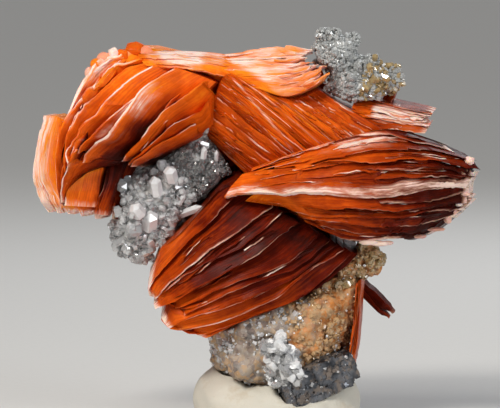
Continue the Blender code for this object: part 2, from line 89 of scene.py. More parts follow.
STATION = 0.35  # spacing of the points along a blade
STEP_LENGTH = 3.0  # mean length of the flats that a blade's edge is broken into
TIP_LENGTH = 2.2  # part of a blade that narrows to its tip
TIP_SHARE = 0.4  # most of a blade's length that its tip takes
TIP_DROPS = (0.3, 1.2)  # how far back a tip bends
TIP_PALE = 1.2  # part of a blade that is pale at its tip
PALE_TIPS = 0.6  # share of the blades whose tip is pale
NARROWING = 0.75  # share of its width that the tip loses
OVERLAP = 0.5  # how far a blade runs under the next one, as a share of its width
RIM_EDGE = 0.16  # width of a blade's rim
RIM_DROP = 0.22  # height of the rim's cut side
RIM_GRAIN = 0.3  # how rough a rim is from point to point, as a share of its jag
BAND_SHARE = 0.45  # most of a blade that its rim's pale band covers
STEADY_BAND = (0.15, 0.35)  # band widths from which a rim's paleness grows steady along the blade
FRONT_WAVE = 0.10  # how far a blade's front waves
RIM_WAVE = 0.12  # how far its rim's outline waves
ROOT_SHARE = 0.3  # share of a blade's length over which it rises out of the others
SPLINTER_SINK = 0.7  # how far back a splinter's root lies, and the share of its width that it loses
SPLINTER_DEPTH = 2.0
SPLINTER_LENGTHS = (0.15, 0.45)  # as shares of the fan's length
SPLINTER_RISE = (0.08, 0.35)  # how far splinters stand before the blades that they lie on
LATE_START = 0.15  # share of its fan's length beyond which a traced blade rises out of its neighbour
LATE_SINK = 0.8  # how far back such a blade's root lies, as a share of its lean
LATE_MARGIN = 0.09  # how far past such a blade's root its neighbour still runs on beneath it
END_MARGIN = 0.03  # the same at a blade's tip, and how far beyond an early root a neighbour meets it
BLADE_DELAY = 0.02  # largest share of the fan's length by which a blade starts late
WIDEST = 0.3  # widest that a traced blade is, as a share of its fan
SHARP_EDGE = math.radians(32)
SHARES = np.linspace(0, 1, 61)  # shares of a fan's length at which the sides of a blade are listed


@dataclass
class Fan:
    """A sheaf of thin barite blades.

    Each guide is the front edge of one blade, from its root to its tip, and the blades between two
    guides are blended from them. Every blade runs back from its front edge along `back`.
    """

    name: str
    guides: tuple
    back: tuple  # direction in which the blades run into the specimen
    depth: float  # how far they run that way
    seed: int
    solid: str = "barite_blades"  # the part that it stands for
    finish: str = "barite"
    blades: int = 0  # blades beside the traced ones, of random widths
    relief: float = 0.4  # how far a blade stands before or behind the fan's front
    lean: float = 0.3  # how far its rim stands forward, and its other edge back
    rims_up: float = 1.0  # share of the blades whose rim is their first edge and not the other one
    uneven: float = 0.6  # how much the blades' widths differ
    ledge: float = 0.3  # depth of the steps that a blade's front is broken into
    jag: float = 0.3  # how far its rim's outline steps to and fro
    reach: float = 1.0  # share of the guides' length that the longest blade has
    ragged: float = 0.06  # largest share of the length that a blade falls short of that
    slant: float = 0.08  # how obliquely a blade ends, as a share of the length
    tips: float = 1.0  # how much the blades narrow to their tips
    tint: float = 0.06  # how much their darkness differs
    splinters: int = 0  # short blades that lie on the others
    splinter_width: tuple = (0.25, 0.9)
    bare: tuple = (0.0, 0.0)  # shares of the side between which no splinters lie
    deep: tuple = (0.2, 0.2, 0.2)  # darkness at the root, the middle and the tip
    deep_side: tuple = (0.0, 0.0, 0.0)  # darkness added at the first blade, the middle one and the last
    shade: float = 0.1  # darkness added across a blade, from its rim to its other edge
    pale: float = 0.2  # paleness of the blades' edges
    pale_tip: float = 0.5
    streaks: tuple = ()  # pale bands: side share at root and tip, width, start, end, strength
    smooth_root: float = 0.0  # share of the relief that is missing at the root
    # Traced blades: the rim's paleness, the blade's shade, the width of the rim's pale band, and the
    # rim's places, as hundredths of the fan's length and thousandths of its side.
    rims: tuple = ()


RIGHT_FAN = Fan(
    name="right_barite_fan", back=(0.1, 1.0, -0.075), depth=11.0, relief=0.38, lean=0.45, rims_up=0.0,
    uneven=0.75, ledge=0.22, ragged=0.1, splinters=46, smooth_root=0.7, shade=0.12,
    deep=(0.14, 0.42, 1.0), deep_side=(0.0, 0.0, 0.28), pale=0.6, tips=0.55, pale_tip=1.1,
    bare=(0.47, 0.7), seed=3,
    guides=(
        ((-4.1, -7.0, 34.5), (1.1, -9.0, 36.5), (7.8, -10.0, 38.6), (15.3, -8.5, 40.0),
         (23.6, -4.0, 37.4)),
        ((-5.3, -8.0, 33.3), (1.8, -11.0, 34.8), (9.9, -12.5, 36.1), (19.3, -10.0, 36.1),
         (26.8, -4.0, 35.0)),
        ((-6.9, -8.0, 30.6), (-0.3, -11.5, 32.3), (8.5, -13.0, 32.5), (18.0, -10.5, 32.7),
         (25.9, -4.5, 32.0)),
        ((-0.9, -8.5, 30.2), (3.1, -10.5, 29.6), (9.9, -12.0, 28.6), (18.0, -10.0, 28.9),
         (25.2, -4.5, 29.5)),
        ((1.1, -7.5, 29.7), (4.5, -8.5, 27.1), (9.2, -9.0, 25.2), (15.3, -8.0, 24.4), (21.2, -4.0, 26.1)),
    ),
    # The first band is a painted highlight, a white glint near the tip of the wide pale rim; the other two
    # are pale crystal.
    streaks=((0.44, 0.49, 0.025, 0.72, 0.9, 0.9), (0.99, 0.98, 0.035, 0.6, 0.78, 1.0),
             (0.05, 0.06, 0.035, 0.38, 0.7, 1.3)),
    rims=(
        (0.5, 0.3, 0.1, (6, 23, 33, 43, 53, 62, 73, 81, 89, 94, 97),
         (8, 0, 0, 0, 0, 0, 0, 8, 0, 0, 0)),
        (1, 0.6, 0.3, (4, 22, 33, 40, 44, 50, 54, 60, 66, 72, 74, 79, 86, 92, 95),
         (121, 42, 21, 42, 37, 17, 17, 37, 50, 58, 92, 108, 96, 104, 125)),
        (0.5, 0.6, 0.1, (17, 30, 34, 40, 48, 57, 64, 70, 77, 86, 92, 100),
         (200, 250, 229, 196, 200, 175, 171, 175, 183, 183, 196, 204)),
        (0.45, 0.6, 0.1, (30, 39, 48, 54, 60, 68, 75, 81, 88, 93, 100),
         (292, 242, 267, 296, 292, 283, 271, 263, 292, 300, 312)),
        (0.8, 0.6, 0.15, (22, 28, 34, 40, 47, 54, 57, 62, 67, 72, 77, 84, 91, 96),
         (429, 425, 412, 421, 408, 396, 371, 379, 371, 379, 346, 338, 358, 392)),
        (0.6, 0.6, 0.1, (52, 58, 65, 70, 74, 80, 86, 93, 97),
         (467, 454, 454, 429, 450, 429, 421, 438, 467)),
        (1.8, 0.3, 1.25, (0, 7, 15, 20, 26, 34, 42, 47, 51, 56, 62, 67, 71, 76, 81, 88, 94, 98),
         (504, 512, 558, 583, 608, 575, 567, 579, 596, 600, 617, 617, 604, 583, 554, 542, 525, 537)),
        (0.7, 0.6, 0.3, (53, 61, 68, 72, 75, 83, 90, 97, 100),
         (650, 667, 671, 683, 679, 675, 646, 588, 600)),
        (0.5, 0.6, 0.2, (19, 28, 39, 48, 57, 62, 68, 75, 83, 88, 93, 100),
         (738, 762, 733, 700, 692, 717, 738, 725, 721, 717, 721, 738)),
        (0.5, 0.6, 0.1, (3, 21, 32, 38, 45, 52, 58, 65, 72, 78, 85, 92, 100),
         (971, 858, 842, 808, 775, 775, 783, 783, 800, 787, 771, 787, 812)),
        (0.8, 0.6, 0.15, (17, 34, 45, 50, 57, 67, 73, 81, 89, 97, 100),
         (967, 867, 829, 850, 858, 867, 854, 867, 862, 871, 879)),
        (0.45, 0.6, 0.1, (20, 27, 36, 46, 54, 64, 76, 89, 100),
         (1000, 987, 938, 917, 921, 917, 917, 954, 996)),
        (0.8, 0.6, 0.2, (24, 32, 39, 50, 58, 68, 76, 86, 91, 97),
         (1000, 1000, 1000, 1000, 987, 963, 967, 1000, 1000, 1000)),
    ),
)
LOWER_FAN = Fan(
    name="lower_barite_fan", back=(0.0, 1.0, 0.1), depth=10.0, relief=0.35, lean=0.5, rims_up=0.0,
    uneven=0.7, ledge=0.1, jag=0.15, ragged=0.13, slant=0.12, splinters=16, shade=0.2,
    deep=(0.88, 0.74, 0.24), deep_side=(-0.06, 0.1, -0.08), pale=0.62, pale_tip=1.3, seed=8,
    guides=(
        ((-4.6, -5.0, 33.3), (-7.4, -6.0, 32.0), (-10.0, -6.0, 29.3), (-13.1, -6.0, 25.8),
         (-16.2, -5.0, 23.3)),
        ((1.1, -6.0, 30.1), (-3.6, -8.0, 29.0), (-8.8, -9.0, 25.4), (-13.4, -9.0, 21.4),
         (-17.6, -7.0, 18.2)),
        ((5.5, -5.5, 27.7), (-0.3, -8.5, 27.3), (-6.3, -10.0, 23.8), (-11.7, -9.5, 19.6),
         (-16.3, -7.5, 17.0)),
        ((8.5, -5.0, 25.2), (3.1, -8.0, 24.4), (-3.6, -10.0, 21.0), (-9.7, -9.5, 17.8),
         (-16.2, -7.5, 15.9)),
        ((10.1, -4.5, 24.1), (5.1, -7.0, 21.6), (-1.2, -9.0, 18.2), (-7.7, -9.0, 15.7),
         (-14.5, -7.5, 13.3)),
        ((11.3, -4.0, 23.5), (7.8, -5.5, 19.7), (2.0, -7.0, 16.6), (-4.3, -7.0, 14.3), (-9.9, -6.0, 11.3)),
    ),
    rims=(
        (0.5, 0.3, 0.1, (2, 21, 38, 53, 66, 81, 95),
         (8, 17, 0, 0, 0, 0, 0)),
        (0.4, 0.3, 0.1, (9, 31, 44, 56, 66, 78, 85, 94, 98),
         (75, 87, 100, 108, 104, 113, 133, 163, 208)),
        (1.1, 0.3, 0.35, (8, 27, 33, 38, 44, 48, 55, 60, 65, 70, 76, 82, 90, 99),
         (204, 271, 296, 300, 300, 292, 287, 287, 279, 263, 271, 279, 312, 392)),
        (0.8, 0.5, 0.15, (10, 28, 33, 36, 40, 45, 48, 54, 59, 64, 69, 72, 78, 85, 93),
         (287, 400, 412, 412, 417, 429, 425, 408, 371, 346, 338, 312, 317, 333, 358)),
        (0.45, 0.4, 0.1, (12, 23, 29, 35, 42, 49, 55, 62, 68, 75, 82, 88, 95, 100),
         (417, 479, 487, 512, 529, 525, 512, 504, 492, 479, 504, 546, 583, 613)),
        (0.6, 0.4, 0.1, (7, 25, 33, 38, 45, 51, 57, 63, 69, 75, 81, 88, 95),
         (517, 646, 675, 671, 658, 646, 625, 617, 592, 608, 625, 646, 654)),
        (0.6, 0.4, 0.1, (7, 25, 35, 42, 48, 54, 59, 65, 72, 81, 87, 92),
         (604, 725, 738, 713, 700, 688, 683, 662, 675, 692, 721, 750)),
        (0.7, 0.4, 0.15, (6, 24, 34, 43, 52, 61, 69, 74, 79, 83, 88, 94, 100),
         (688, 775, 792, 792, 779, 783, 800, 796, 783, 767, 767, 783, 808)),
        (1.2, 0.4, 0.25, (5, 15, 21, 27, 33, 40, 45, 50, 55, 61, 68, 74, 81, 87, 93, 98, 100),
         (796, 817, 804, 808, 821, 838, 862, 879, 883, 896, 925, 933, 929, 904, 879, 867, 829)),
        (0.3, 0.3, 0.1, (4, 19, 30, 37, 45, 53, 60, 69, 75, 82, 90, 95, 98),
         (904, 921, 946, 971, 983, 987, 979, 987, 992, 975, 963, 954, 908)),
        (0.3, 0.3, 0.1, (4, 20, 33, 43, 54, 63, 70, 79, 88, 97),
         (1000, 971, 987, 1000, 1000, 1000, 1000, 1000, 1000, 1000)),
    ),
)
CENTRAL_BOOK = Fan(
    name="central_barite_book", back=(-0.1, 1.0, 0.1), depth=9.0, blades=40, relief=0.18, lean=0.12,
    uneven=0.7, ledge=0.12, jag=0.12, reach=1.08, tips=0.2, splinters=110, splinter_width=(0.15, 0.5),
    deep=(0.36, 0.24, 0.3), deep_side=(0.1, 0.0, 0.1), pale=0.45, pale_tip=0.1, seed=5,
    guides=(
        ((5.6, -1.5, 44.9), (9.2, -3.0, 42.7), (14.0, -4.5, 39.8)),
        ((1.1, -4.0, 43.8), (4.9, -5.0, 41.3), (9.6, -6.0, 37.8)),
        ((-6.1, -6.0, 47.2), (-1.0, -6.5, 43.7), (6.6, -7.0, 37.6)),
        ((-8.0, -5.0, 45.0), (-4.0, -6.0, 42.0), (2.6, -6.5, 36.4)),
        ((-9.5, -3.0, 40.2), (-6.1, -3.5, 37.6), (-1.2, -4.5, 34.0)),
        ((-9.3, -1.5, 38.4), (-6.6, -2.0, 35.9), (-3.4, -3.0, 32.8)),
    ),
    streaks=((0.42, 0.6, 0.01, 0.04, 0.97, 0.7), (0.38, 0.42, 0.008, 0.05, 0.97, 0.6)),
)
LEFT_FAN = Fan(
    name="left_barite_fan", back=(0.35, 1.0, -0.05), depth=8.5, relief=0.25, lean=1.0, shade=0.55,
    uneven=0.15, ledge=0.05, jag=0.2, ragged=0.12, slant=0.14, tint=0.07, splinters=12,
    splinter_width=(0.4, 1.5), deep=(0.09, 0.2, 0.3), deep_side=(0.0, 0.0, 0.2), pale=1.15, pale_tip=0.4,
    seed=11,
    guides=(
        ((-18.6, -1.2, 51.2), (-22.9, -2.6, 49.8), (-26.2, -4.4, 46.4), (-28.2, -6.0, 42.0),
         (-29.5, -6.5, 36.6), (-29.3, -5.0, 30.2)),
        ((-17.8, -2.5, 50.3), (-21.2, -5.0, 46.2), (-24.3, -7.0, 42.2), (-26.8, -8.5, 38.8),
         (-28.2, -8.0, 35.0), (-28.9, -6.0, 30.0)),
        ((-12.4, -3.6, 49.6), (-17.2, -7.0, 46.0), (-20.6, -9.0, 41.7), (-23.6, -9.0, 38.6),
         (-25.4, -8.0, 36.4), (-26.8, -6.5, 32.8)),
        ((-9.0, -5.0, 48.3), (-13.9, -7.2, 45.0), (-17.1, -8.0, 40.4), (-19.4, -7.5, 37.7),
         (-21.4, -7.0, 35.9), (-23.5, -5.5, 34.0)),
        ((-6.9, -5.6, 46.6), (-10.7, -6.8, 43.6), (-14.2, -7.0, 39.6), (-16.6, -6.5, 37.2),
         (-18.6, -6.0, 35.6), (-20.6, -5.0, 34.0)),
        ((-7.6, -5.0, 42.2), (-10.0, -5.2, 39.7), (-12.5, -5.5, 38.0), (-14.8, -5.0, 36.8),
         (-16.9, -4.5, 35.8), (-18.9, -4.0, 34.9)),
    ),
    streaks=((0.0, 0.0, 0.06, 0.0, 0.6, 1.1), (0.428, 0.338, 0.035, 0.2, 0.38, 1.3),
             (0.368, 0.414, 0.02, 0.43, 0.62, 0.8)),
    rims=(
        (0.8, 0.8, 0.3, (0, 13, 21, 27, 32, 39, 46, 53, 60, 65),
         (33, 42, 4, 0, 0, 0, 0, 4, 0, 0)),
        (0.8, 0.9, 0.25, (5, 15, 25, 33, 42, 50, 58, 64, 68, 73, 79, 84, 90, 95, 100),
         (212, 83, 87, 75, 62, 58, 33, 8, 0, 0, 0, 25, 58, 0, 4)),
        (0.5, 0.5, 0.1, (6, 11, 20, 28, 35, 42, 50, 57, 65, 72, 80, 87),
         (275, 167, 142, 138, 133, 113, 104, 108, 96, 117, 146, 167)),
        (1, 0.8, 0.25, (8, 14, 20, 25, 31, 38, 42, 46, 50, 54, 58, 65, 71, 75, 81, 85, 88, 92, 95, 100),
         (329, 287, 258, 233, 212, 212, 212, 192, 183, 183, 204, 188, 175, 212, 263, 246, 204, 217, 179,
          192)),
        (0.5, 0.4, 0.1, (25, 32, 41, 50, 59, 65, 72, 78),
         (379, 342, 321, 312, 304, 283, 279, 279)),
        (1.1, 2.3, 0.3, (7, 15, 21, 28, 34, 39, 43, 48, 54, 58, 60, 67, 74, 79, 86),
         (442, 425, 404, 392, 396, 396, 396, 408, 412, 408, 388, 400, 396, 388, 404)),
        (0.8, 1.2, 0.2, (9, 18, 25, 30, 35, 40, 47, 55, 62, 72, 83),
         (688, 704, 679, 637, 621, 613, 621, 621, 613, 613, 625)),
        (0.6, 0.7, 0.1, (12, 18, 28, 33, 38, 46, 55, 62, 73, 85),
         (850, 875, 838, 796, 762, 738, 733, 717, 729, 738)),
        (0.6, 0.7, 0.1, (17, 26, 34, 40, 49, 58, 70, 81, 90),
         (933, 921, 896, 883, 825, 792, 796, 783, 787)),
    ),
)
OUTER_BLADES = Fan(
    name="outer_left_blades", back=(0.25, 1.0, 0.0), depth=6.5, blades=6, relief=0.2, ledge=0.12,
    jag=0.4, ragged=0.05, splinters=8, deep=(0.05, 0.05, 0.05), deep_side=(0.0, 0.0, 0.75), pale=0.6,
    pale_tip=0.9, seed=14,
    guides=(
        ((-31.4, -0.5, 41.6), (-32.2, -2.0, 38.2), (-32.8, -2.5, 33.6), (-32.3, -2.0, 30.8),
         (-31.2, -1.5, 28.0)),
        ((-29.6, -2.2, 41.4), (-30.4, -3.6, 38.0), (-30.8, -4.0, 33.6), (-29.6, -3.6, 30.6),
         (-28.2, -3.2, 27.8)),
        ((-27.6, -2.2, 40.4), (-27.2, -3.4, 37.2), (-26.6, -3.6, 33.4), (-25.4, -3.4, 30.4),
         (-24.8, -3.2, 27.4)),
        ((-20.0, 0.8, 38.0), (-18.8, 0.8, 35.0), (-20.4, -0.4, 32.2), (-20.8, -1.4, 29.6),
         (-21.2, -1.6, 27.0)),
    ),
    streaks=((0.0, 0.05, 0.3, 0.0, 1.0, 1.0), (0.5, 0.5, 0.6, 0.9, 1.0, 0.9)),
)
AMBER_BLADE = Fan(
    name="amber_blade", back=(0.25, 1.0, 0.0), depth=3.0, blades=1, relief=0.0, lean=0.25, ledge=0.0,
    jag=0.1, tips=0.1, deep=(0.0, -0.05, 0.1), shade=0.4, pale=0.6, seed=52,
    guides=(
        ((-26.8, -4.4, 35.6), (-27.9, -6.0, 32.6), (-28.6, -6.2, 29.3)),
        ((-23.0, -3.4, 36.2), (-23.8, -4.6, 32.8), (-24.0, -4.6, 28.7)),
    ),
)
THIN_SHEET = Fan(
    name="thin_left_sheet", back=(0.25, 1.0, 0.0), depth=3.0, blades=2, relief=0.1, lean=0.2, ledge=0.05,
    jag=0.1, tips=0.2, deep=(0.9, 0.7, 0.35), pale=0.5, seed=53,
    guides=(
        ((-22.6, -3.0, 35.8), (-23.6, -4.8, 31.6), (-24.8, -4.6, 28.2)),
        ((-20.6, -2.6, 35.4), (-22.0, -4.2, 31.4), (-23.0, -4.0, 28.0)),
    ),
)
CREAM_PATCH = Fan(
    name="cream_patch", back=(0.0, 1.0, -0.12), depth=4.0, blades=3, relief=0.05, lean=0.12, rims_up=0.0,
    ledge=0.04, tips=0.4, slant=0.2, splinters=5, deep=(0.16, 0.05, 0.12), shade=0.0, pale=0.4, seed=57,
    guides=(
        ((-19.5, -1.6, 50.2), (-16.2, -2.2, 50.3), (-12.4, -2.4, 50.2), (-8.6, -2.4, 50.0),
         (-4.6, -2.6, 49.4)),
        ((-18.6, -3.4, 49.4), (-15.8, -4.4, 49.3), (-12.2, -4.9, 49.2), (-8.8, -5.0, 48.8),
         (-4.8, -4.6, 48.0)),
        ((-17.6, -4.6, 48.2), (-15.2, -5.8, 48.0), (-12.0, -6.2, 47.7), (-8.8, -6.1, 47.2),
         (-5.4, -5.4, 46.2)),
    ),
    streaks=((0.25, 0.25, 0.6, 0.28, 0.66, 0.9), (0.25, 0.25, 0.5, 0.1, 0.85, 0.55)),
)
TOP_BLADES = Fan(
    name="top_barite_blades", back=(0.0, 1.0, -0.12), depth=7.5, blades=9, relief=0.08, lean=0.14,
    rims_up=0.0, ledge=0.1, jag=0.5, ragged=0.1, splinters=16, deep=(0.16, 0.1, 0.08), shade=0.03,
    pale=0.4, pale_tip=0.6, seed=21,
    guides=(
        ((-8.4, -2.8, 45.6), (-3.4, -5.9, 45.4), (1.1, -5.5, 44.3), (4.7, -5.0, 45.5), (7.4, -4.0, 47.4)),
        ((-9.6, -2.9, 47.0), (-5.4, -5.5, 46.9), (-1.0, -5.0, 46.6), (3.0, -4.5, 47.0), (6.7, -3.5, 48.6)),
        ((-11.0, -2.6, 48.2), (-8.8, -4.4, 48.6), (-4.3, -4.0, 48.6), (1.1, -3.5, 48.6),
         (5.0, -2.5, 49.0)),
        ((-16.0, -1.4, 49.7), (-12.0, -2.4, 49.7), (-7.4, -1.8, 49.9), (-1.0, -1.0, 51.0),
         (4.9, 0.0, 50.5)),
    ),
    streaks=((0.6, 0.6, 0.7, 0.42, 1.0, 0.66), (0.95, 0.8, 0.45, 0.0, 0.55, 0.4)),
)
BACK_RIGHT_BLADES = Fan(
    name="back_right_blades", back=(0.15, 1.0, 0.1), depth=6.5, blades=8, relief=0.25, rims_up=0.0,
    jag=0.5, ragged=0.16, splinters=12, deep=(0.45, 0.4, 0.3), pale=0.5, pale_tip=0.7, seed=25,
    guides=(
        ((10.5, 0.8, 44.0), (14.0, 0.6, 43.2), (17.3, 0.6, 42.3), (21.4, 1.0, 41.4)),
        ((10.0, -1.5, 42.4), (13.8, -1.5, 41.7), (17.2, -1.0, 41.0), (20.6, -0.3, 40.5)),
        ((9.5, -3.0, 40.6), (13.4, -3.0, 40.2), (16.6, -2.6, 39.8), (20.2, -1.8, 39.4)),
        ((9.5, -4.0, 39.0), (13.0, -4.4, 38.6), (16.0, -4.2, 38.2), (18.8, -3.2, 38.0)),
    ),
    streaks=((0.3, 0.3, 0.2, 0.25, 1.0, 1.3),),
)
UPRIGHT_BLADE = Fan(
    name="upright_blade", back=(0.1, 1.0, 0.0), depth=3.25, blades=2, relief=0.1, lean=0.1, ledge=0.1,
    jag=0.2, deep=(0.6, 0.55, 0.5), pale=0.3, seed=27,
    guides=(
        ((14.6, 2.0, 41.5), (16.4, 2.4, 44.6), (16.9, 2.8, 47.0)),
        ((13.4, 3.0, 41.5), (14.8, 3.6, 44.6), (15.6, 4.0, 46.6)),
    ),
)
REAR_FAN = Fan(
    name="rear_barite_fan", back=(0.05, -1.0, 0.0), depth=5.0, blades=20, relief=0.45, rims_up=0.5,
    jag=0.4, ragged=0.1, splinters=50, deep=(0.4, 0.22, 0.3), deep_side=(0.0, 0.0, 0.2), pale=0.3,
    pale_tip=0.6, seed=31,
    guides=(
        ((6.0, 8.5, 47.5), (1.0, 10.0, 48.0), (-5.0, 10.5, 46.5), (-11.0, 8.5, 43.5)),
        ((8.0, 9.5, 42.0), (1.5, 12.0, 42.5), (-6.5, 12.5, 40.5), (-14.0, 9.0, 37.0)),
        ((8.5, 9.5, 36.5), (1.5, 12.5, 35.5), (-7.0, 12.5, 33.0), (-15.5, 8.5, 31.0)),
        ((7.5, 8.5, 31.0), (1.5, 10.5, 29.0), (-6.0, 10.5, 26.5), (-13.0, 7.5, 25.5)),
    ),
)
FREE_BLADE = Fan(
    name="small_blade", back=(0.1, 1.0, 0.1), depth=2.75, blades=2, relief=0.0, lean=0.1, ledge=0.15,
    jag=0.2, deep=(0.8, 0.75, 0.62), pale=0.15, pale_tip=0.4, seed=41, solid="small_free_blade",
    finish="barite_deep",
    guides=(
        ((7.4, 4.6, 22.6), (12.1, 5.3, 18.5), (16.4, 5.2, 13.9)),
        ((6.9, 4.9, 21.0), (11.0, 5.7, 16.9), (15.3, 5.5, 12.7)),
    ),
)
SIDE_SHEET = Fan(
    name="side_sheet", back=(0.1, 1.0, 0.0), depth=6.0, blades=4, relief=0.25, lean=0.15, ledge=0.4,
    jag=0.7, splinters=8, deep=(0.4, 0.34, 0.36), seed=43, solid="side_barite_sheet",
    finish="barite_deep",
    guides=(
        ((11.5, -2.4, 19.6), (11.4, -3.0, 15.4), (11.0, -3.2, 11.0), (10.2, -2.8, 7.2)),
        ((10.6, -4.0, 19.2), (10.3, -4.7, 15.2), (9.8, -4.8, 11.0), (9.3, -4.2, 7.4)),
    ),
)
FANS = (RIGHT_FAN, LOWER_FAN, CENTRAL_BOOK, LEFT_FAN, OUTER_BLADES, AMBER_BLADE, THIN_SHEET, CREAM_PATCH,
        TOP_BLADES, BACK_RIGHT_BLADES, UPRIGHT_BLADE, REAR_FAN, FREE_BLADE, SIDE_SHEET)


GLINT = (-0.21, -0.90, 0.37)  # a face turned this way shows the main lamp's reflection to the camera
# Bright crystals that stand out from the pocket: place across and up, direction, width and length.
SINGLE_CRYSTALS = (
    ((-9.9, 36.2), (0.10, -0.45, 0.9), 0.9, 1.9),
    ((-9.7, 37.6), (-0.9, -0.35, 0.30), 0.9, 1.6),
    ((-8.2, 35.8), (0.05, -0.45, 0.9), 0.6, 1.7),
    ((-12.4, 28.4), (0.72, -0.62, 0.30), 1.2, 4.6),
    ((-13.0, 30.0), (0.5, -0.4, 0.8), 0.8, 1.8),
    ((-14.2, 33.4), (-0.2, -0.6, 0.8), 1.8, 2.4),
    ((-15.3, 34.6), (-0.4, -0.6, 0.7), 1.4, 1.8),
    ((-16.2, 31.6), (-0.15, -0.5, 0.9), 1.7, 3.0),
    ((-17.2, 27.0), (0.1, -0.6, 0.8), 2.4, 2.8),
    ((-18.6, 28.6), (-0.5, -0.5, 0.7), 1.8, 2.2),
    ((-14.2, 27.0), (-0.3, -0.6, 0.8), 1.2, 1.8),
)
# Small lumps of barite: middle, radii, darkness and paleness. These are on the outline at the upper left.
OUTLINE_KNOBS = (
    ((-19.0, -1.4, 50.2), (1.5, 1.4, 1.15), 0.26, 0.0),
    ((-17.6, -1.6, 50.0), (1.3, 1.2, 0.9), 0.22, 0.5),
    ((-20.6, -1.8, 49.7), (1.1, 1.2, 0.8), 0.16, 0.0),
    ((-22.0, -2.0, 49.7), (0.75, 1.0, 0.95), 0.0, 1.3),
    ((-23.2, -2.3, 49.2), (1.0, 1.1, 0.8), 0.1, 0.6),
    ((-24.3, -2.8, 48.3), (0.8, 1.0, 0.9), 0.0, 0.0),
    ((-25.2, -3.2, 47.2), (0.6, 0.9, 0.9), 0.1, 0.8),
)
# Pale broken ends of the right fan, and the pale crust on its lower edge.
BROKEN_ENDS = (
    ((25.7, -4.0, 35.5), (0.8, 0.9, 0.60), 0.3, 1.0),
    ((24.1, -4.6, 32.1), (0.9, 0.7, 0.35), 0.6, 0.8),
    ((25.1, -4.5, 31.1), (0.8, 0.7, 0.32), 0.5, 0.9),
    ((24.1, -4.5, 29.8), (0.9, 0.8, 0.70), 0.5, 1.1),
    ((23.5, -4.6, 28.7), (0.8, 0.7, 0.45), 0.6, 0.8),
    ((22.9, -4.8, 27.7), (0.55, 0.6, 0.60), 0.5, 0.9),
    ((21.2, -5.2, 26.4), (1.3, 0.7, 0.28), 0.6, 0.7),
    ((19.0, -6.0, 25.5), (1.0, 0.7, 0.30), 0.6, 0.7),
    ((12.2, -8.2, 24.9), (1.3, 0.9, 0.40), 0.5, 1.1),
    ((13.6, -8.0, 24.7), (1.4, 0.9, 0.38), 0.5, 1.2),
    ((14.5, -7.8, 24.75), (1.0, 0.8, 0.30), 0.5, 1.0),
)


class Finish:
    """A material made of nodes: its Principled shader, and short ways to add nodes before it."""

    def __init__(self, name, **values):
        self.material = bpy.data.materials.new(name)
        self.material.use_nodes = True
        self.tree = self.material.node_tree
        self.shader = self.tree.nodes["Principled BSDF"]
        for socket, value in values.items():
            self.shader.inputs[socket.replace("_", " ")].default_value = value

    def put(self, socket, value):
        """Sets an input, or links an output to it."""
        if isinstance(value, bpy.types.NodeSocket):
            self.tree.links.new(value, socket)
        elif isinstance(value, tuple) and len(value) == 3 and socket.type == "RGBA":
            socket.default_value = (*value, 1)
        else:
            socket.default_value = value

    def node(self, kind, settings=(), inputs=()):
        made = self.tree.nodes.new(kind)
        for name, value in dict(settings).items():
            setattr(made, name, value)
        for name, value in dict(inputs).items():
            self.put(made.inputs[name], value)
        return made

    def place(self):
        """Where a point is on the piece, in metres."""
        return self.node("ShaderNodeTexCoord").outputs["Object"]

    def blade_place(self, along, across):
        """Where a point is on its blade, in millimetres, stretched by these two factors."""
        uv = self.node("ShaderNodeUVMap", {"uv_map": "blade"}).outputs["UV"]
        scaled = self.node("ShaderNodeMapping", (), {"Vector": uv, "Scale": (along, across, 1.0)})
        return scaled.outputs["Vector"]

    def attribute(self, name):
        return self.node("ShaderNodeAttribute", {"attribute_name": name}).outputs["Fac"]

    def noise(self, vector, scale, detail=4.0, roughness=0.55):
        inputs = {"Vector": vector, "Scale": scale, "Detail": detail, "Roughness": roughness}
        return self.node("ShaderNodeTexNoise", (), inputs).outputs["Fac"]

    def cells(self, vector, scale, output="Distance"):
        inputs = {"Vector": vector, "Scale": scale}
        return self.node("ShaderNodeTexVoronoi", (), inputs).outputs[output]

    def math(self, operation, first, second=0.0, clamp=False):
        made = self.node("ShaderNodeMath", {"operation": operation, "use_clamp": clamp})
        self.put(made.inputs[0], first)
        self.put(made.inputs[1], second)
        return made.outputs[0]

    def spread(self, value, low, high, to_low=0.0, to_high=1.0):
        """Maps a range of values to another, and stops at its ends."""
        inputs = {"Value": value, "From Min": low, "From Max": high, "To Min": to_low, "To Max": to_high}
        return self.node("ShaderNodeMapRange", (), inputs).outputs[0]

    def ramp(self, value, *stops):
        """Colours at shares from 0 to 1, blended between."""
        made = self.node("ShaderNodeValToRGB", (), {"Fac": value})
        elements = made.color_ramp.elements
        for share, _ in stops[2:]:
            elements.new(share)
        for element, (share, colour) in zip(elements, stops):
            element.position = share
            element.color = (*colour, 1)
        return made.outputs["Color"]

    def mix(self, share, first, second):
        made = self.node("ShaderNodeMix", {"data_type": "RGBA"})
        self.put(made.inputs[0], share)
        self.put(made.inputs[6], first)
        self.put(made.inputs[7], second)
        return made.outputs[2]

    def bump(self, height, distance, strength=1.0, over=None):
        """A normal from a height, `distance` millimetres high."""
        inputs = {"Height": height, "Distance": distance * MM, "Strength": strength}
        if over:
            inputs["Normal"] = over
        return self.node("ShaderNodeBump", (), inputs).outputs["Normal"]

    def use(self, socket, value):
        self.put(self.shader.inputs[socket], value)


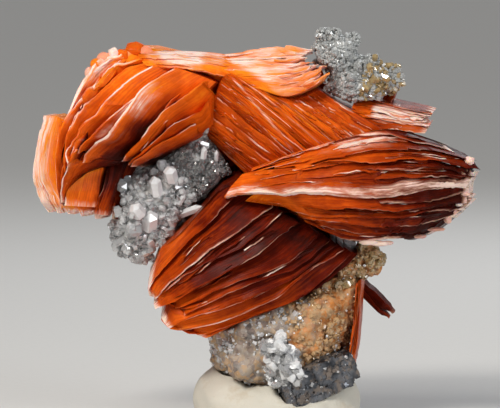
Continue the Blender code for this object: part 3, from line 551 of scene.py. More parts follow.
def barite_finish(name, darkness):
    """Glossy orange crystal, lined along each blade, from amber through rust to near black."""
    finish = Finish(
        name,
        Subsurface_Weight=0.18,
        Subsurface_Radius=(1.0, 0.20, 0.04),
        Subsurface_Scale=0.0009,
        IOR=1.5,
        Specular_IOR_Level=0.05,
    )
    lines = finish.noise(finish.blade_place(0.10, 5.0), 1.0, 5.0, 0.6)
    fine_lines = finish.noise(finish.blade_place(0.35, 16.0), 1.0, 3.0, 0.6)
    clouds = finish.noise(finish.place(), 260.0, 4.0, 0.6)
    patches = finish.noise(finish.blade_place(0.25, 0.9), 1.0, 4.0, 0.6)
    deep = finish.math("ADD", finish.attribute("deep"), darkness)
    deep = finish.math("ADD", deep, finish.spread(clouds, 0.3, 0.7, -0.12, 0.12))
    deep = finish.math("ADD", deep, finish.spread(lines, 0.3, 0.7, -0.12, 0.12))
    deep = finish.math("ADD", deep, finish.spread(patches, 0.35, 0.7, -0.06, 0.12), clamp=True)
    colour = finish.ramp(deep, (0.0, AMBER), (0.18, ORANGE), (0.5, RUST), (0.78, MAROON), (1.0, SOOT))
    pale = finish.math("MULTIPLY", finish.attribute("pale"), finish.spread(lines, 0.35, 0.6, 0.4, 1.2))
    pale = finish.math("MULTIPLY", pale, finish.spread(patches, 0.38, 0.58, 0.4, 1.3))
    pale = finish.spread(pale, 0.14, 0.9)
    milky = finish.ramp(pale, (0.0, PEACH), (1.0, CREAM))
    finish.use("Base Color", finish.mix(pale, colour, milky))
    finish.use("Roughness", finish.spread(fine_lines, 0.3, 0.7, 0.16, 0.40))
    relief = finish.bump(lines, 0.06, 0.8)
    finish.use("Normal", finish.bump(fine_lines, 0.02, 0.7, relief))
    return finish.material


def crystal_finish(name, colour, clarity, cloudiness):
    """Clear crystal with faint growth lines and a little cloud inside."""
    finish = Finish(name, IOR=2.0, Transmission_Weight=clarity)
    clouds = finish.noise(finish.place(), 700.0, 3.0)
    lines = finish.noise(finish.place(), 4200.0, 2.0)
    stained = colour[2] < 0.5
    darker = tuple(share * c for share, c in zip((0.85, 0.75, 0.65), colour)) if stained else colour
    finish.use("Base Color", finish.ramp(clouds, (0.35, colour), (0.7, tuple(c * 0.85 for c in darker))))
    finish.use("Roughness", finish.spread(clouds, 0.4, 0.7, 0.02, 0.05 + cloudiness))
    finish.use("Normal", finish.bump(lines, 0.02, 0.4))
    return finish.material


def crust_finish(name):
    """Grey grains that the crystals grow from, some of them glinting."""
    finish = Finish(name, IOR=1.9)
    grains = finish.cells(finish.place(), 2200.0, "Color")
    distance = finish.cells(finish.place(), 2200.0)
    clouds = finish.noise(finish.place(), 300.0)
    grey = finish.ramp(clouds, (0.3, CRUST_DARK), (0.7, CRUST_LIGHT))
    finish.use("Base Color", finish.mix(finish.spread(grains, 0.4, 0.9, 0.0, 0.6), grey, CRYSTAL_GREY))
    finish.use("Roughness", finish.spread(grains, 0.3, 0.8, 0.5, 0.08))
    finish.use("Normal", finish.bump(distance, 0.25, 1.0))
    return finish.material


def rock_finish(name):
    """Grains of limonite: orange and tan on the right, brown in the hollows, grey and glassy on the left."""
    finish = Finish(name)
    place = finish.place()
    patches = finish.noise(place, 210.0, 5.0, 0.65)
    grains = finish.cells(place, 1500.0, "Color")
    dust = finish.noise(place, 3200.0, 4.0, 0.7)
    pits = finish.noise(place, 800.0, 3.0, 0.6)
    mottle = finish.math("ADD", finish.math("MULTIPLY", grains, 0.35), finish.math("MULTIPLY", patches, 0.65))
    stops = ((0.40, LIMONITE_ORANGE), (0.52, LIMONITE_TAN), (0.62, LIMONITE_ORANGE), (0.74, LIMONITE_TAN))
    earth = finish.ramp(mottle, (0.28, LIMONITE_BROWN), *stops)
    earth = finish.mix(finish.spread(pits, 0.30, 0.52, 0.85, 0.0), earth, LIMONITE_BROWN)
    grey = finish.ramp(mottle, (0.30, CRUST_DARK), (0.48, ROCK_GREY), (0.60, LIMONITE_TAN), (0.70, ROCK_GREY))
    colour = finish.mix(finish.attribute("grey"), earth, grey)
    finish.use("Base Color", finish.mix(finish.spread(dust, 0.62, 0.75, 0.0, 0.6), colour, CRYSTAL_GREY))
    finish.use("Roughness", finish.spread(grains, 0.2, 0.8, 0.9, 0.35))
    relief = finish.bump(dust, 0.12, 0.8)
    finish.use("Normal", finish.bump(grains, 0.12, 0.7, relief))
    return finish.material


def galena_finish(name):
    """Lead-grey metal, bright where a cleavage face is fresh and dull where it is tarnished."""
    finish = Finish(name)
    tarnish = finish.noise(finish.place(), 500.0, 5.0, 0.6)
    steps = finish.noise(finish.place(), 3000.0, 3.0)
    dirt = finish.noise(finish.place(), 900.0, 4.0, 0.65)
    metal = finish.ramp(tarnish, (0.35, GALENA_LIGHT), (0.65, GALENA_DARK))
    finish.use("Base Color", finish.mix(finish.spread(dirt, 0.50, 0.62), metal, GALENA_DIRT))
    finish.use("Metallic", finish.spread(dirt, 0.50, 0.62, 1.0, 0.0))
    finish.use("Roughness", finish.spread(tarnish, 0.35, 0.65, 0.22, 0.55))
    finish.use("Normal", finish.bump(steps, 0.08, 0.7))
    return finish.material


def putty_finish(name):
    """Matt off-white putty with finger marks, specks and a few brown stains from the rock."""
    finish = Finish(name, Subsurface_Weight=0.1, Subsurface_Radius=(1.0, 0.9, 0.7), Subsurface_Scale=0.001)
    place = finish.place()
    stains = finish.noise(place, 330.0, 5.0, 0.65)
    grain = finish.noise(place, 2600.0, 4.0, 0.6)
    specks = finish.cells(place, 800.0)
    colour = finish.ramp(stains, (0.55, PUTTY_WHITE), (0.80, PUTTY_STAIN))
    finish.use("Base Color", finish.mix(finish.spread(specks, 0.0, 0.12, 0.5, 0.0), colour, PUTTY_STAIN))
    finish.use("Roughness", finish.spread(grain, 0.3, 0.7, 0.65, 0.9))
    finish.use("Normal", finish.bump(grain, 0.12, 0.6))
    return finish.material


def floor_finish(name):
    finish = Finish(name)
    grain = finish.noise(finish.place(), 900.0)
    finish.use("Base Color", finish.ramp(grain, (0.3, FLOOR), (0.7, tuple(c * 0.98 for c in FLOOR))))
    finish.use("Roughness", finish.spread(grain, 0.3, 0.7, 0.75, 0.85))
    return finish.material


def add_object(name, data):
    added = bpy.data.objects.new(name, data)
    bpy.context.scene.collection.objects.link(added)
    return added


def add_piece(name, points, faces, material, stands_for):
    """Makes a piece from points in millimetres, and gives it its body, finish and solid."""
    mesh = bpy.data.meshes.new(name)
    mesh.from_pydata((np.clip(points, LOWEST, HIGHEST) * MM).tolist(), [], faces)
    mesh.materials.append(material)
    piece = add_object(name, mesh)
    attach(piece, BODY)
    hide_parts(stands_for)
    return piece


def add_values(mesh, name, values):
    """Gives each point of a mesh a number that its material reads."""
    layer = mesh.attributes.new(name, "FLOAT", "POINT")
    layer.data.foreach_set("value", np.asarray(values, dtype=np.float32))


def along(points, share):
    """Places at shares of the way along smooth curves through evenly spaced points.

    `points` holds the curves' points, one curve for each share.
    """
    last = len(points) - 1
    start = np.clip(np.floor(share * last).astype(int), 0, last - 1)
    each = np.arange(len(share))
    t = (share * last - start)[:, None]
    here = points[start, each]
    after = points[start + 1, each]
    first = (start == 0)[:, None]
    final = (start + 2 > last)[:, None]
    before = np.where(first, 2 * here - after, points[np.maximum(start - 1, 0), each])
    beyond = np.where(final, 2 * after - here, points[np.minimum(start + 2, last), each])
    bend = 2 * before - 5 * here + 4 * after - beyond
    twist = 3 * here - before - 3 * after + beyond
    return 0.5 * (2 * here + (after - before) * t + bend * t**2 + twist * t**3)


def front_of(fan, length_share, side_share):
    """Points on the smooth surface that the blades' front edges follow."""
    guides = [np.array(guide)[:, None].repeat(len(length_share), axis=1) for guide in fan.guides]
    return along(np.stack([along(guide, length_share) for guide in guides]), side_share)


def smooth_step(low, high, value):
    share = np.clip((value - low) / (high - low), 0, 1)
    return share * share * (3 - 2 * share)


def ledges(shares, rng, steps, height):
    """A blade's edge is broken into short flats: how far back each one is, along the blade."""
    ends = np.sort(rng.uniform(0, 1, steps))
    heights = rng.uniform(-height, 0, steps + 1)
    return heights[np.searchsorted(ends, shares)]


def waves(shares, rng, height):
    """A gentle random wave along a blade."""
    total = np.zeros(len(shares))
    for turns in (1.3, 3.1, 7.3):
        total += height / turns * np.sin(turns * math.tau * shares + rng.uniform(0, math.tau))
    return total


class Sheaf:
    """Gathers the blades of one fan into one mesh."""

    def __init__(self, fan):
        self.fan = fan
        self.rng = np.random.default_rng(fan.seed)
        self.back = np.array(fan.back) / np.linalg.norm(fan.back)
        middle = front_of(fan, np.linspace(0, 1, 20), np.full(20, 0.5))
        self.span = np.linalg.norm(np.diff(middle, axis=0), axis=1).sum()
        self.points = []
        self.faces = []
        self.faces_of_blades = []
        self.uv = []
        self.deep = []
        self.pale = []
        self.count = 0

    def height(self, length):
        """How far it is from the fan's first side to its other side, at these shares of its length."""
        sides = [front_of(self.fan, length, np.full(len(length), side)) for side in (0.0, 0.5, 1.0)]
        return np.linalg.norm(sides[1] - sides[0], axis=1) + np.linalg.norm(sides[2] - sides[1], axis=1)

    def grown(self, length):
        """How much of the fan's relief there is at a share of its length."""
        return 1 - self.fan.smooth_root * (1 - smooth_step(0.0, 0.7, length))

    def blade(self, sides, ends, fronts, depth, splinter=False, look=None):
        """One thin plate with a smooth face and a rim: a thin, uneven, pale edge.

        `sides` are the shares of the fan's side where its rim and its other edge lie, `ends` the shares
        of the length where it starts and stops, and `fronts` how far forward its rim and other edge are.
        `look` is how pale its rim is, how much its face darkens and how wide the rim's pale band is.
        """
        rng = self.rng
        fan = self.fan
        run = self.span * (ends[1] - ends[0])
        stations = max(7, int(run / STATION))
        own = np.linspace(0, 1, stations)
        length = ends[0] + own * (ends[1] - ends[0])
        per_mm = 1 / np.maximum(self.height(length), 1.0)
        sides = [np.interp(length, SHARES, side * np.ones(len(SHARES))) for side in sides]
        fronts = [front * self.grown(length) for front in fronts]
        to_other = np.sign(np.mean(sides[1] - sides[0]))
        wide = abs(sides[1] - sides[0]) / per_mm

        tip = smooth_step(1 - min(TIP_LENGTH / run, TIP_SHARE), 1, own) * (1.0 if splinter else fan.tips)
        steps = max(2, int(run / STEP_LENGTH))
        forward = ledges(own, rng, steps, fan.ledge) * self.grown(length) + waves(own, rng, FRONT_WAVE)
        forward = forward - rng.uniform(*TIP_DROPS) * tip
        jags = RIM_GRAIN * fan.jag * rng.uniform(0, 1, stations) - ledges(own, rng, steps * 2, fan.jag)
        rim = sides[0] + to_other * per_mm * np.minimum(jags, 0.4 * wide)
        other = sides[1] - (sides[1] - rim) * NARROWING * tip
        rim = rim + to_other * per_mm * waves(own, rng, RIM_WAVE)
        root = 1 - smooth_step(0, ROOT_SHARE, own)
        if splinter:
            forward = forward - SPLINTER_SINK * root
            other = other - (other - rim) * SPLINTER_SINK * root
        elif ends[0] > LATE_START:
            forward = forward - LATE_SINK * abs(fronts[0] - fronts[1]) * root
        edge = np.minimum(RIM_EDGE * rng.uniform(0.6, 1.5), 0.25 * wide) * per_mm * to_other
        drop = RIM_DROP * rng.uniform(0.7, 1.8)
        slope = (fronts[1] - fronts[0]) / 2
        uneven = -depth * (1 + waves(own, rng, 0.05))
        slant = rng.uniform(-0.5, 0.5) * fan.slant
        tint = rng.normal(0, fan.tint)
        paleness, shade, band = look or (0.25 + 1.5 * rng.uniform(0, 1) ** 1.5, 1.0, 0.0)
        broad = np.minimum(band * np.clip(0.9 + waves(own, rng, 0.25), 0.6, 1.2), BAND_SHARE * wide) * per_mm
        edge = np.where(edge < 0, -1, 1) * np.maximum(abs(edge), broad)
        steady = smooth_step(*STEADY_BAND, band)
        spots = waves(own, rng, 1.3 - 1.1 * steady)
        rim_pale = fan.pale * paleness * np.clip(0.5 + 0.4 * steady + spots, 0, 1.6)
        rim_pale[0] = 0  # the broken end at the root isn't pale
        tip_pale = fan.pale_tip * (rng.uniform(0, 1) < PALE_TIPS) * smooth_step(1 - TIP_PALE / run, 1, own)

        past_band = max(0.3, 1.25 * band)
        half = max(0.5 * wide.mean(), 1.7 * band)
        # Place across the blade, how far forward, its shares of the rim's paleness and of the shade, and
        # how many millimetres it is from the rim.
        ring = (
            (rim, uneven, 0.0, 1.0, -depth),
            (rim, forward + fronts[0] - drop, 0.9, 0.3, -drop),
            (rim + 0.35 * edge, forward + fronts[0], 1.0, 0.0, 0.0),
            (rim + 1.6 * edge, forward + fronts[0] - 0.03, 0.15, 0.0, past_band),
            ((rim + other) / 2 + 0.5 * edge, forward + fronts[0] + slope * 1.3, 0.0, 0.5, half),
            (other, forward + fronts[1], 0.0, 1.3, wide.mean()),
            (other, uneven, 0.0, 1.3, wide.mean() + depth),
        )
        if to_other < 0:
            ring = ring[::-1]
        u_shift, v_shift = rng.uniform(0, 300, 2)
        for across, ahead, pale_share, shade_share, from_rim in ring:
            here = length + slant * own**3 * (across - sides[0]) / (sides[1] - sides[0])
            across = np.clip(across, 0, 1)
            self.points.append(front_of(fan, here, across) - self.back * ahead[:, None])
            self.uv.append(np.stack([here * self.span + u_shift, np.full(stations, from_rim + v_shift)], 1))
            dark = np.interp(here, (0, 0.5, 1), fan.deep) + np.interp(across, (0, 0.5, 1), fan.deep_side)
            shadow = fan.shade * shade * shade_share * smooth_step(0.12, 0.5, here)
            self.deep.append(dark + tint + shadow)
            self.pale.append(np.clip(tip_pale + pale_share * rim_pale + self.streak(here, across), 0, 2))
        self.join(stations, len(ring))

    def streak(self, length, side):
        """How pale the fan's pale bands make these places."""
        pale = 0.0
        for side_root, side_tip, band, begins, ends, strength in self.fan.streaks:
            middle = side_root + (side_tip - side_root) * length
            reach = smooth_step(begins - 0.06, begins + 0.06, length)
            reach = reach * (1 - smooth_step(ends - 0.06, ends + 0.06, length))
            pale = pale + strength * reach * np.exp(-(((side - middle) / band) ** 2))
        return pale

    def join(self, stations, corners):
        """Faces between the corners' lines of points, and one at each end."""
        def at(corner, station):
            return self.count + (corner % corners) * stations + station

        for near in range(corners):
            far = near + 1
            for here in range(stations - 1):
                after = here + 1
                self.faces.append((at(near, here), at(near, after), at(far, after), at(far, here)))
        self.faces.append(tuple(at(corner, 0) for corner in range(corners)))
        self.faces.append(tuple(at(corner, stations - 1) for corner in reversed(range(corners))))
        self.count += stations * corners

    def face(self, side, length):
        """How far forward the main blades' faces are at shares of the fan's side and length."""
        found = []
        for sides, fronts in self.faces_of_blades:
            rim, other = (np.interp(length, SHARES, edge * np.ones(len(SHARES))) for edge in sides)
            if min(rim, other) <= side <= max(rim, other):
                found.append(fronts[0] + (fronts[1] - fronts[0]) * (side - rim) / (other - rim))
        return max(found, default=0.0)

    def traced_blades(self):
        """Blades between the rims that the fan lists: each one runs under the blade beside it."""
        up = self.fan.rims_up > 0.5
        lines = [(np.array(lengths) / 100, np.array(sides) / 1000) for *_, lengths, sides in self.fan.rims]
        for number, (*look, _, _) in enumerate(self.fan.rims):
            length, side = lines[number]
            rim = np.interp(SHARES, length, side)
            other = np.full(len(SHARES), 1.0 if up else 0.0)
            for beside_length, beside in lines[number + 1 :] if up else lines[:number]:
                beside_side = np.interp(SHARES, beside_length, beside)
                start = beside_length[0] + (LATE_MARGIN if beside_length[0] > LATE_START else -END_MARGIN)
                there = (SHARES > start) & (SHARES < beside_length[-1] - END_MARGIN)
                low, high = (rim, other) if up else (other, rim)
                other = np.where(there & (beside_side > low) & (beside_side < high), beside_side, other)
            wide = (1 if up else -1) * np.clip(abs(other - rim), 0.02, WIDEST)
            yield (rim, rim + wide * (1 + 0.5 * OVERLAP)), (length[0], length[-1]), abs(wide).mean(), look

    def grow(self):
        """The fan's main blades from one side to the other, then short ones that lie on them."""
        fan = self.fan
        rng = self.rng
        mean_wide = np.mean([wide for _, _, wide, _ in self.traced_blades()] or [1.0])
        for sides, ends, wide, look in self.traced_blades():
            lift = rng.uniform(-fan.relief, fan.relief)
            lean = fan.lean * np.clip(wide / mean_wide, 0.5, 1.4)
            fronts = (lift + lean, lift - lean)
            self.faces_of_blades.append((sides, fronts))
            self.blade(sides, ends, fronts, fan.depth * rng.uniform(0.72, 1.0), look=look)
        widths = rng.uniform(1 - fan.uneven, 1 + fan.uneven, fan.blades)
        edges = np.concatenate([[0.0], np.cumsum(widths) / max(widths.sum(), 1.0)])
        for low, high in zip(edges[:-1], edges[1:]):
            share = (high - low) * fan.blades
            overlap = (high - low) * OVERLAP
            up = rng.uniform(0, 1) < fan.rims_up
            sides = (low, high + overlap) if up else (high, low - overlap)
            lift = rng.uniform(-fan.relief, fan.relief)
            lean = fan.lean * min(share, 1.4) * rng.uniform(0.8, 1.15)
            fronts = (lift + lean, lift - lean)
            ends = (rng.uniform(0, BLADE_DELAY), fan.reach - rng.uniform(0, fan.ragged))
            self.faces_of_blades.append((sides, fronts))
            self.blade(sides, ends, fronts, fan.depth * rng.uniform(0.8, 1.0))
        for _ in range(fan.splinters):
            start = rng.uniform(0, 0.75)
            end = min(start + rng.uniform(*SPLINTER_LENGTHS), fan.reach - rng.uniform(0, fan.ragged))
            middle = (start + end) / 2
            rim = rng.uniform(0.02, 0.98)
            wide = rng.uniform(*fan.splinter_width) / self.height(np.array([middle]))[0]
            other = rim + wide if rng.uniform(0, 1) < fan.rims_up else rim - wide
            raised = rng.uniform(*SPLINTER_RISE)
            fronts = (self.face(rim, middle) + raised, self.face(other, middle) + min(raised - 0.12, 0.05))
            if not fan.bare[0] < rim < fan.bare[1]:
                self.blade((rim, other), (start, end), fronts, SPLINTER_DEPTH, splinter=True)

    def finished(self, material):
        fan = self.fan
        self.grow()
        piece = add_piece(fan.name, np.concatenate(self.points), self.faces, material, fan.solid)
        mesh = piece.data
        add_values(mesh, "deep", np.concatenate(self.deep))
        add_values(mesh, "pale", np.concatenate(self.pale))
        places = np.concatenate(self.uv)
        corners = np.empty(len(mesh.loops), dtype=np.int32)
        mesh.loops.foreach_get("vertex_index", corners)
        mesh.uv_layers.new(name="blade").data.foreach_set("uv", places[corners].ravel())
        mesh.shade_smooth()
        mesh.set_sharp_from_angle(angle=SHARP_EDGE)


def hexagon(radius, height):
    return [
        (radius * math.cos(math.tau * k / 6), radius * math.sin(math.tau * k / 6), height) for k in range(6)
    ]


def rectangle(x, y, height):
    return [(-x, -y, height), (x, -y, height), (x, y, height), (-x, y, height)]


def walls(corners, floors):
    """Faces between rings of points that are listed one above the other."""
    return [
        (ring + k, ring + (k + 1) % corners, ring + corners + (k + 1) % corners, ring + corners + k)
        for ring in range(0, floors * corners, corners)
        for k in range(corners)
    ]


# Crystals, one unit high and wide: their points, and faces that name them.
def prism_shape():
    """A six-sided prism that ends in a slanted wedge."""
    points = hexagon(0.5, 0.0)
    points += [(x, y, 0.70 + 0.06 * (k % 2)) for k, (x, y, _) in enumerate(hexagon(0.5, 0.0))]
    points += [(0.14, 0.0, 1.0), (-0.16, 0.02, 0.96)]
    ends = [(6, 7, 12), (7, 8, 13, 12), (8, 9, 13), (9, 10, 13), (10, 11, 12, 13), (11, 6, 12)]
    return np.array(points), walls(6, 1) + ends


def block_shape():
    """A stubby block with its upper edges cut off."""
    points = [p for z, half in ((0.0, 0.5), (0.78, 0.5), (1.0, 0.30)) for p in rectangle(half, half * 0.8, z)]
    return np.array(points), walls(4, 2) + [(8, 9, 10, 11)]


def tablet_shape():
    """A thin plate with a pointed end."""
    points = [p for z, half in ((0.0, 0.5), (0.62, 0.5), (0.9, 0.22)) for p in rectangle(half, 0.12, z)]
    points += [(0.0, -0.06, 1.0), (0.0, 0.06, 1.0)]
    return np.array(points), walls(4, 2) + [(8, 9, 12), (9, 10, 13, 12), (10, 11, 13), (11, 8, 12, 13)]


def double_pyramid_shape():
    """Two six-sided pyramids back to back, with their points cut off."""
    rings = ((0.0, 0.30), (0.45, 0.5), (0.52, 0.5), (0.92, 0.12))
    points = [p for z, radius in rings for p in hexagon(radius, z)]
    points.append((0.0, 0.0, 1.0))
    return np.array(points), walls(6, 3) + [(18 + k, 18 + (k + 1) % 6, 24) for k in range(6)]


CRYSTAL_SHAPES = (prism_shape(), block_shape(), tablet_shape(), double_pyramid_shape())
# Which of them a group of crystals has.
ALL_SHAPES = (0, 1, 2, 3)
NO_TABLETS = (0, 1, 3)
ALL_REORDERED = (0, 1, 3, 2)  # the same four, as two of the groups draw them
ROUND_SHAPES = (1, 3)
AIR_REACH = 1.6  # a crystal grows only where no barite is nearer than this


def surface_of(node):
    """A solid's points in millimetres and its triangles."""
    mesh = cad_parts[node].data
    mesh.calc_loop_triangles()
    points = np.array([vert.co for vert in mesh.vertices]) / MM
    triangles = np.array([triangle.vertices for triangle in mesh.loop_triangles])
    return points, triangles


MOST_TRIES = 60  # how many times a solid's places are drawn before too few of them are enough


def places_on(node, count, rng, wanted):
    """Random places on a solid, evenly spread, with the direction that its surface faces there."""
    points, triangles = surface_of(node)
    a, b, c = (points[triangles[:, corner]] for corner in range(3))
    normals = np.cross(b - a, c - a)
    areas = np.linalg.norm(normals, axis=1)
    normals /= np.maximum(areas, 1e-9)[:, None]
    found = []
    for _ in range(MOST_TRIES):
        chosen = rng.choice(len(triangles), size=count, p=areas / areas.sum())
        r = np.sqrt(rng.uniform(0, 1, count))[:, None]
        s = rng.uniform(0, 1, count)[:, None]
        here = (1 - r) * a[chosen] + r * (1 - s) * b[chosen] + r * s * c[chosen]
        found += [(p, n) for p, n in zip(here, normals[chosen]) if wanted(p, n)]
        if len(found) >= count:
            break
    return found[:count]


def open_to_air(reach):
    """A test of places: is nothing of the barite in front of one, within this reach?"""
    points, triangles = surface_of("barite_blades")
    tree = BVHTree.FromPolygons(points.tolist(), triangles.tolist())

    def wanted(place, facing):
        return tree.ray_cast(Vector(place), Vector(facing), reach)[0] is None

    return wanted


def druse(name, places, sizes, stretch, lean, shapes, rng, material, stands_for):
    """Crystals at these places, each standing roughly square to the surface."""
    points = []
    faces = []
    count = 0
    for place, facing in places:
        size = sizes[0] + (sizes[1] - sizes[0]) * rng.uniform(0, 1) ** 2.5
        high = size * rng.uniform(*stretch)
        shape, its_faces = CRYSTAL_SHAPES[shapes[rng.integers(len(shapes))]]
        direction = Vector(facing + lean * rng.normal(0, 1, 3)).normalized()
        twist = Matrix.Rotation(rng.uniform(0, math.tau), 3, "Z")
        turn = direction.to_track_quat("Z", "Y").to_matrix() @ twist
        scaled = shape * (size, size * rng.uniform(0.7, 1.0), high) - (0, 0, high * 0.3)
        points.append(scaled @ np.array(turn).T + place)
        faces += [tuple(count + corner for corner in face) for face in its_faces]
        count += len(shape)
    return add_piece(name, np.concatenate(points), faces, material, stands_for)


def single_crystals(name, node, material):
    """The crystals that stand out, each rooted where a line from the front meets the solid.

    One face of each prism is turned as far as it goes towards `GLINT`.
    """
    points, triangles = surface_of(node)
    tree = BVHTree.FromPolygons(points.tolist(), triangles.tolist())
    shape, its_faces = CRYSTAL_SHAPES[0]
    made = []
    faces = []
    for number, ((across, up), direction, width, length) in enumerate(SINGLE_CRYSTALS):
        root = tree.ray_cast(Vector((across, -40, up)), Vector((0, 1, 0)))[0]
        if root is None:
            root = tree.find_nearest(Vector((across, -3, up)))[0]
        axis = Vector(direction).normalized()
        face = (Vector(GLINT) - axis * axis.dot(Vector(GLINT))).normalized()
        first = math.cos(math.pi / 6) * face + math.sin(math.pi / 6) * axis.cross(face)
        turn = np.array((first, axis.cross(first), axis))
        scaled = shape * (width, width, length) - (0, 0, 0.25 * length)
        made.append(scaled @ turn + np.array(root) - (0, 0.5, 0))
        faces += [tuple(number * len(shape) + corner for corner in face) for face in its_faces]
    return add_piece(name, np.concatenate(made), faces, material, node)


def knobs(name, lumps, material, node):
    """Uneven balls of barite."""
    shape = bmesh.new()
    for middle, radii, _, _ in lumps:
        made = bmesh.ops.create_icosphere(shape, subdivisions=3, radius=1.0)["verts"]
        for vert in made:
            lump = 0.25 * noise.noise(vert.co * 1.6 + Vector(middle))
            vert.co *= 1 + lump + 0.08 * noise.noise(vert.co * 5)
            vert.co = Vector(x * radius for x, radius in zip(vert.co, radii)) + Vector(middle)
    points = np.array([vert.co for vert in shape.verts])
    faces = [tuple(vert.index for vert in face.verts) for face in shape.faces]
    shape.free()
    piece = add_piece(name, points, faces, material, node)
    each = len(points) // len(lumps)
    add_values(piece.data, "deep", np.repeat([dark for *_, dark, _ in lumps], each))
    add_values(piece.data, "pale", np.repeat([pale for *_, pale in lumps], each))
    piece.data.shade_smooth()
    return piece


def weathered(name, node, voxel, bumps, material, swell=0.0):
    """A finer copy of a solid, worn uneven by bumps of these (sizes, heights)."""
    copy = add_object(f"{name}_solid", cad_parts[node].data.copy())
    copy.modifiers.new("weld", "WELD")
    remesh = copy.modifiers.new("remesh", "REMESH")
    remesh.mode = "VOXEL"
    remesh.voxel_size = voxel * MM
    smooth = copy.modifiers.new("smooth", "SMOOTH")
    smooth.iterations = 5
    bpy.context.view_layer.update()
    fine = copy.evaluated_get(bpy.context.evaluated_depsgraph_get()).to_mesh()
    points = np.array([vert.co for vert in fine.vertices]) / MM
    normals = np.array([vert.normal for vert in fine.vertices])
    faces = [tuple(face.vertices) for face in fine.polygons]
    rise = np.full(len(points), swell)
    for size, height in bumps:
        rise += height * np.array([noise.noise(Vector(point) / size) for point in points])
    bpy.data.objects.remove(copy)
    piece = add_piece(name, points + normals * rise[:, None], faces, material, node)
    piece.data.shade_smooth()
    return piece


def cubes(name, node, count, sizes, turn, material, rng):
    """Stepped cubes, all turned alike, sunk into a solid's surface."""
    points = []
    faces = []
    ends = (-0.5, 0.5)
    corners = np.array([(x, y, z) for x in ends for y in ends for z in ends])
    sides = ((0, 1, 3, 2), (4, 6, 7, 5), (0, 4, 5, 1), (2, 3, 7, 6), (0, 2, 6, 4), (1, 5, 7, 3))
    for place, facing in places_on(node, count, rng, lambda p, n: True):
        size = rng.uniform(*sizes) * rng.uniform(0.7, 1.3, 3)
        middle = place - facing * size.min() * rng.uniform(0.15, 0.5)
        first = len(points) * len(corners)
        tilt = Matrix.Rotation(rng.normal(0, 0.12), 3, Vector(rng.normal(0, 1, 3)))
        points.append((corners * size) @ (np.array(tilt) @ np.array(turn)).T + middle)
        faces += [tuple(first + corner for corner in side) for side in sides]
    return add_piece(name, np.concatenate(points), faces, material, node)


def lamp(name, place, size, power, colour):
    data = bpy.data.lights.new(name, "AREA")
    data.size = size * MM
    data.energy = power
    data.color = colour
    light = add_object(name, data)
    light.location = Vector(place) * MM
    light.rotation_euler = (Vector(CAMERA_AIM) - Vector(place)).to_track_quat("-Z", "Y").to_euler()


def studio():
    """A pale floor, soft light from the upper left, and the photograph's view."""
    floor = bpy.data.meshes.new("floor")
    floor.from_pydata([(-3, -3, 0), (3, -3, 0), (3, 3, 0), (-3, 3, 0)], [], [(0, 1, 2, 3)])
    floor.materials.append(floor_finish("floor"))
    add_object("floor", floor)

    lamp("key", (-190, -330, 330), 110, 1.5, LAMPLIGHT)
    lamp("fill", (300, -300, 140), 160, 0.6, DAYLIGHT)
    lamp("rim", (120, 300, 260), 200, 0.4, DAYLIGHT)

    sun = bpy.data.lights.new("sun", "SUN")
    sun.energy = 0.65
    sun.angle = math.radians(25)
    sun.color = LAMPLIGHT
    add_object("sun", sun).rotation_euler = Vector((-0.35, -0.5, 0.8)).to_track_quat("Z", "Y").to_euler()

    world = bpy.data.worlds.new("pale_room")
    world.use_nodes = True
    background = world.node_tree.nodes["Background"]
    background.inputs["Color"].default_value = (*DAYLIGHT, 1)
    background.inputs["Strength"].default_value = 0.22
    bpy.context.scene.world = world

    data = bpy.data.cameras.new("camera")
    data.sensor_width = SENSOR_WIDTH
    data.lens = SENSOR_WIDTH * CAMERA_DISTANCE / (PICTURE_WIDTH * MM_PER_PIXEL)
    data.clip_start = 0.01
    data.clip_end = 20
    camera = add_object("camera", data)
    away = Vector((0, -math.cos(CAMERA_ELEVATION), math.sin(CAMERA_ELEVATION)))
    camera.location = (Vector(CAMERA_AIM) + CAMERA_DISTANCE * away) * MM
    camera.rotation_euler = (math.pi / 2 - CAMERA_ELEVATION, 0, 0)
    bpy.context.scene.camera = camera
    bpy.context.scene.view_settings.view_transform = "Standard"


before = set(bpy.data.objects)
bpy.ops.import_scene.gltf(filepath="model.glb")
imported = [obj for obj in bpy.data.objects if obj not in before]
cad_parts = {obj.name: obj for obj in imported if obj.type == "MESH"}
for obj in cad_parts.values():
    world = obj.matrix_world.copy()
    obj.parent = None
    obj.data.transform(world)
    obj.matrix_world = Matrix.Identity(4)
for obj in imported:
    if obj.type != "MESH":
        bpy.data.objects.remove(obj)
cad_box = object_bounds()
LOWEST = np.array(cad_box[0]) / MM
HIGHEST = np.array(cad_box[1]) / MM


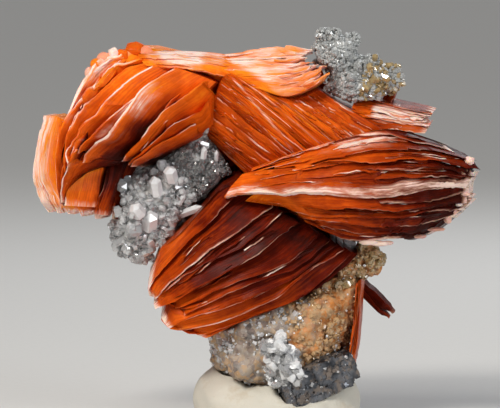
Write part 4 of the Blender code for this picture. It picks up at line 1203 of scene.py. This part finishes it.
def main():
    barite = {"barite": barite_finish("barite", 0.0), "barite_deep": barite_finish("barite_deep", 0.05)}
    for fan in FANS:
        Sheaf(fan).finished(barite[fan.finish])
    knobs("outline_knobs", OUTLINE_KNOBS, barite["barite"], "barite_blades")
    knobs("broken_ends", BROKEN_ENDS, barite["barite"], "barite_blades")

    clear = crystal_finish("cerussite", CRYSTAL_CLEAR, 0.70, 0.04)
    bright = crystal_finish("cerussite_bright", CRYSTAL_CLEAR, 0.45, 0.06)
    large = crystal_finish("cerussite_large", CRYSTAL_CLEAR, 0.68, 0.05)
    white = crystal_finish("cerussite_white", CRYSTAL_CLEAR, 0.2, 0.02)
    # A darker copy of the clear crystals, which paints the shade under the blades.
    painted_shade = crystal_finish("cerussite_smoky", CRYSTAL_PAINTED_SHADE, 0.8, 0.04)
    grey = crystal_finish("cerussite_grey", CRYSTAL_GREY, 0.6, 0.06)
    stained = crystal_finish("cerussite_stained", CRYSTAL_STAINED, 0.5, 0.2)
    tan = crystal_finish("tan_grains", CRYSTAL_TAN, 0.15, 0.25)
    crust = crust_finish("cerussite_crust")

    rng = np.random.default_rng(71)
    in_air = open_to_air(AIR_REACH)

    def crystals(name, count, wanted, sizes, stretch, lean, material, shapes=NO_TABLETS):
        """On the solid that `node` names."""
        places = places_on(node, count, rng, wanted)
        druse(name, places, sizes, stretch, lean, shapes, rng, material, node)

    def below_blades(place, facing):
        """Below the lower edge of the left fan, which slopes up to the right."""
        return place[2] < 38.2 + 0.45 * (place[0] + 10) and in_air(place, facing)

    def in_the_dark(place, facing):
        """The pocket's upper right, under the blades, where darker crystals paint the shade."""
        return place[0] + 0.6 * (place[2] - 33) > -13 and below_blades(place, facing)

    def in_the_light(place, facing):
        return place[0] + 0.6 * (place[2] - 33) < -12 and below_blades(place, facing)

    def on_lower_left(place, facing):
        return place[0] < -13.5 and place[2] < 32 and facing[1] < 0.2 and in_air(place, facing)

    def on_lower_right(place, facing):
        return place[0] > 11.5 + 0.4 * (place[2] - 46) and in_air(place, facing)

    def on_left(place, facing):
        return place[0] < 2.5 + rng.normal(0, 1.5) and place[2] < 24 and in_air(place, facing)

    def on_right(place, facing):
        return place[0] > 1.0 + rng.normal(0, 1.5) and in_air(place, facing)

    def on_neck(place, facing):
        return place[0] > 8 and place[2] > 18.5 and in_air(place, facing)

    # Each group of crystals: their number and where they are, the range of their widths, how many times
    # as long as wide they are, how far they lean, and their finish.
    node = "cerussite_pocket"
    weathered("pocket_crust", node, 0.35, ((1.6, 0.35), (0.6, 0.2)), crust)
    # Painted shade: darker crystals in the pocket's upper right, where the blades shade it.
    crystals("pocket_smoky_crystals", 800, in_the_dark, (0.3, 1.0), (0.7, 1.4), 0.45, painted_shade, ALL_SHAPES)
    crystals("pocket_crystals", 800, in_the_light, (0.3, 1.2), (0.7, 1.4), 0.45, clear, ALL_SHAPES)
    crystals("pocket_bright_crystals", 500, in_the_light, (0.3, 1.2), (0.8, 1.5), 0.6, bright)
    single_crystals("pocket_single_crystals", node, white)
    crystals("pocket_large_crystals", 36, on_lower_left, (1.0, 2.2), (0.7, 1.2), 0.6, large, ALL_REORDERED)

    node = "cerussite_knob"
    weathered("knob_crust", node, 0.3, ((1.2, 0.3), (0.5, 0.15)), crust)
    crystals("knob_crystals", 1900, in_air, (0.3, 0.8), (0.7, 1.2), 0.5, grey)
    crystals("knob_stained_crystals", 220, on_lower_right, (0.4, 1.1), (0.9, 1.5), 0.5, stained)

    node = "cerussite_cluster"
    weathered("cluster_crust", node, 0.3, ((1.2, 0.3),), crust)
    crystals("cluster_crystals", 160, in_air, (0.5, 1.6), (0.8, 1.5), 0.5, clear)
    crystals("cluster_bright_crystals", 90, in_air, (0.5, 1.6), (0.8, 1.6), 0.5, white, ALL_REORDERED)

    node = "limonite_matrix"
    bumps = ((3.2, 0.8), (1.2, 0.5), (0.5, 0.28), (0.25, 0.12))
    rock = weathered("rock", node, 0.25, bumps, rock_finish("limonite"), swell=0.15)
    places = np.array([vert.co for vert in rock.data.vertices]) / MM
    wander = np.array([noise.noise(Vector(place) / 2.5) for place in places])
    add_values(rock.data, "grey", 0.8 * smooth_step(4.5, -0.5, places[:, 0] + 7 * wander))
    crystals("rock_crystals", 1300, on_left, (0.2, 0.9), (0.6, 1.2), 0.5, bright, ALL_SHAPES)
    crystals("rock_white_crystals", 900, on_left, (0.15, 0.6), (0.6, 1.2), 0.6, white)
    crystals("rock_tan_crystals", 2600, on_right, (0.25, 0.9), (0.6, 1.2), 0.5, tan)
    crystals("neck_crystals", 150, on_neck, (0.4, 1.5), (0.6, 1.2), 0.5, stained)
    crystals("rock_glints", 1000, in_air, (0.15, 0.5), (0.6, 1.2), 0.6, white, ROUND_SHAPES)

    node = "galena"
    crystals("galena_glints", 260, in_air, (0.2, 0.7), (0.6, 1.2), 0.6, bright)
    turn = Matrix.Rotation(math.radians(14), 3, "Z") @ Matrix.Rotation(math.radians(-24), 3, "Y")
    turn = turn @ Matrix.Rotation(math.radians(8), 3, "X")
    cubes("galena_steps", node, 3600, (0.18, 0.75), turn, galena_finish("galena"), rng)
    weathered("putty_lump", "putty_base", 0.4, ((4.0, 0.35), (1.2, 0.1)), putty_finish("putty"))
    studio()


main()
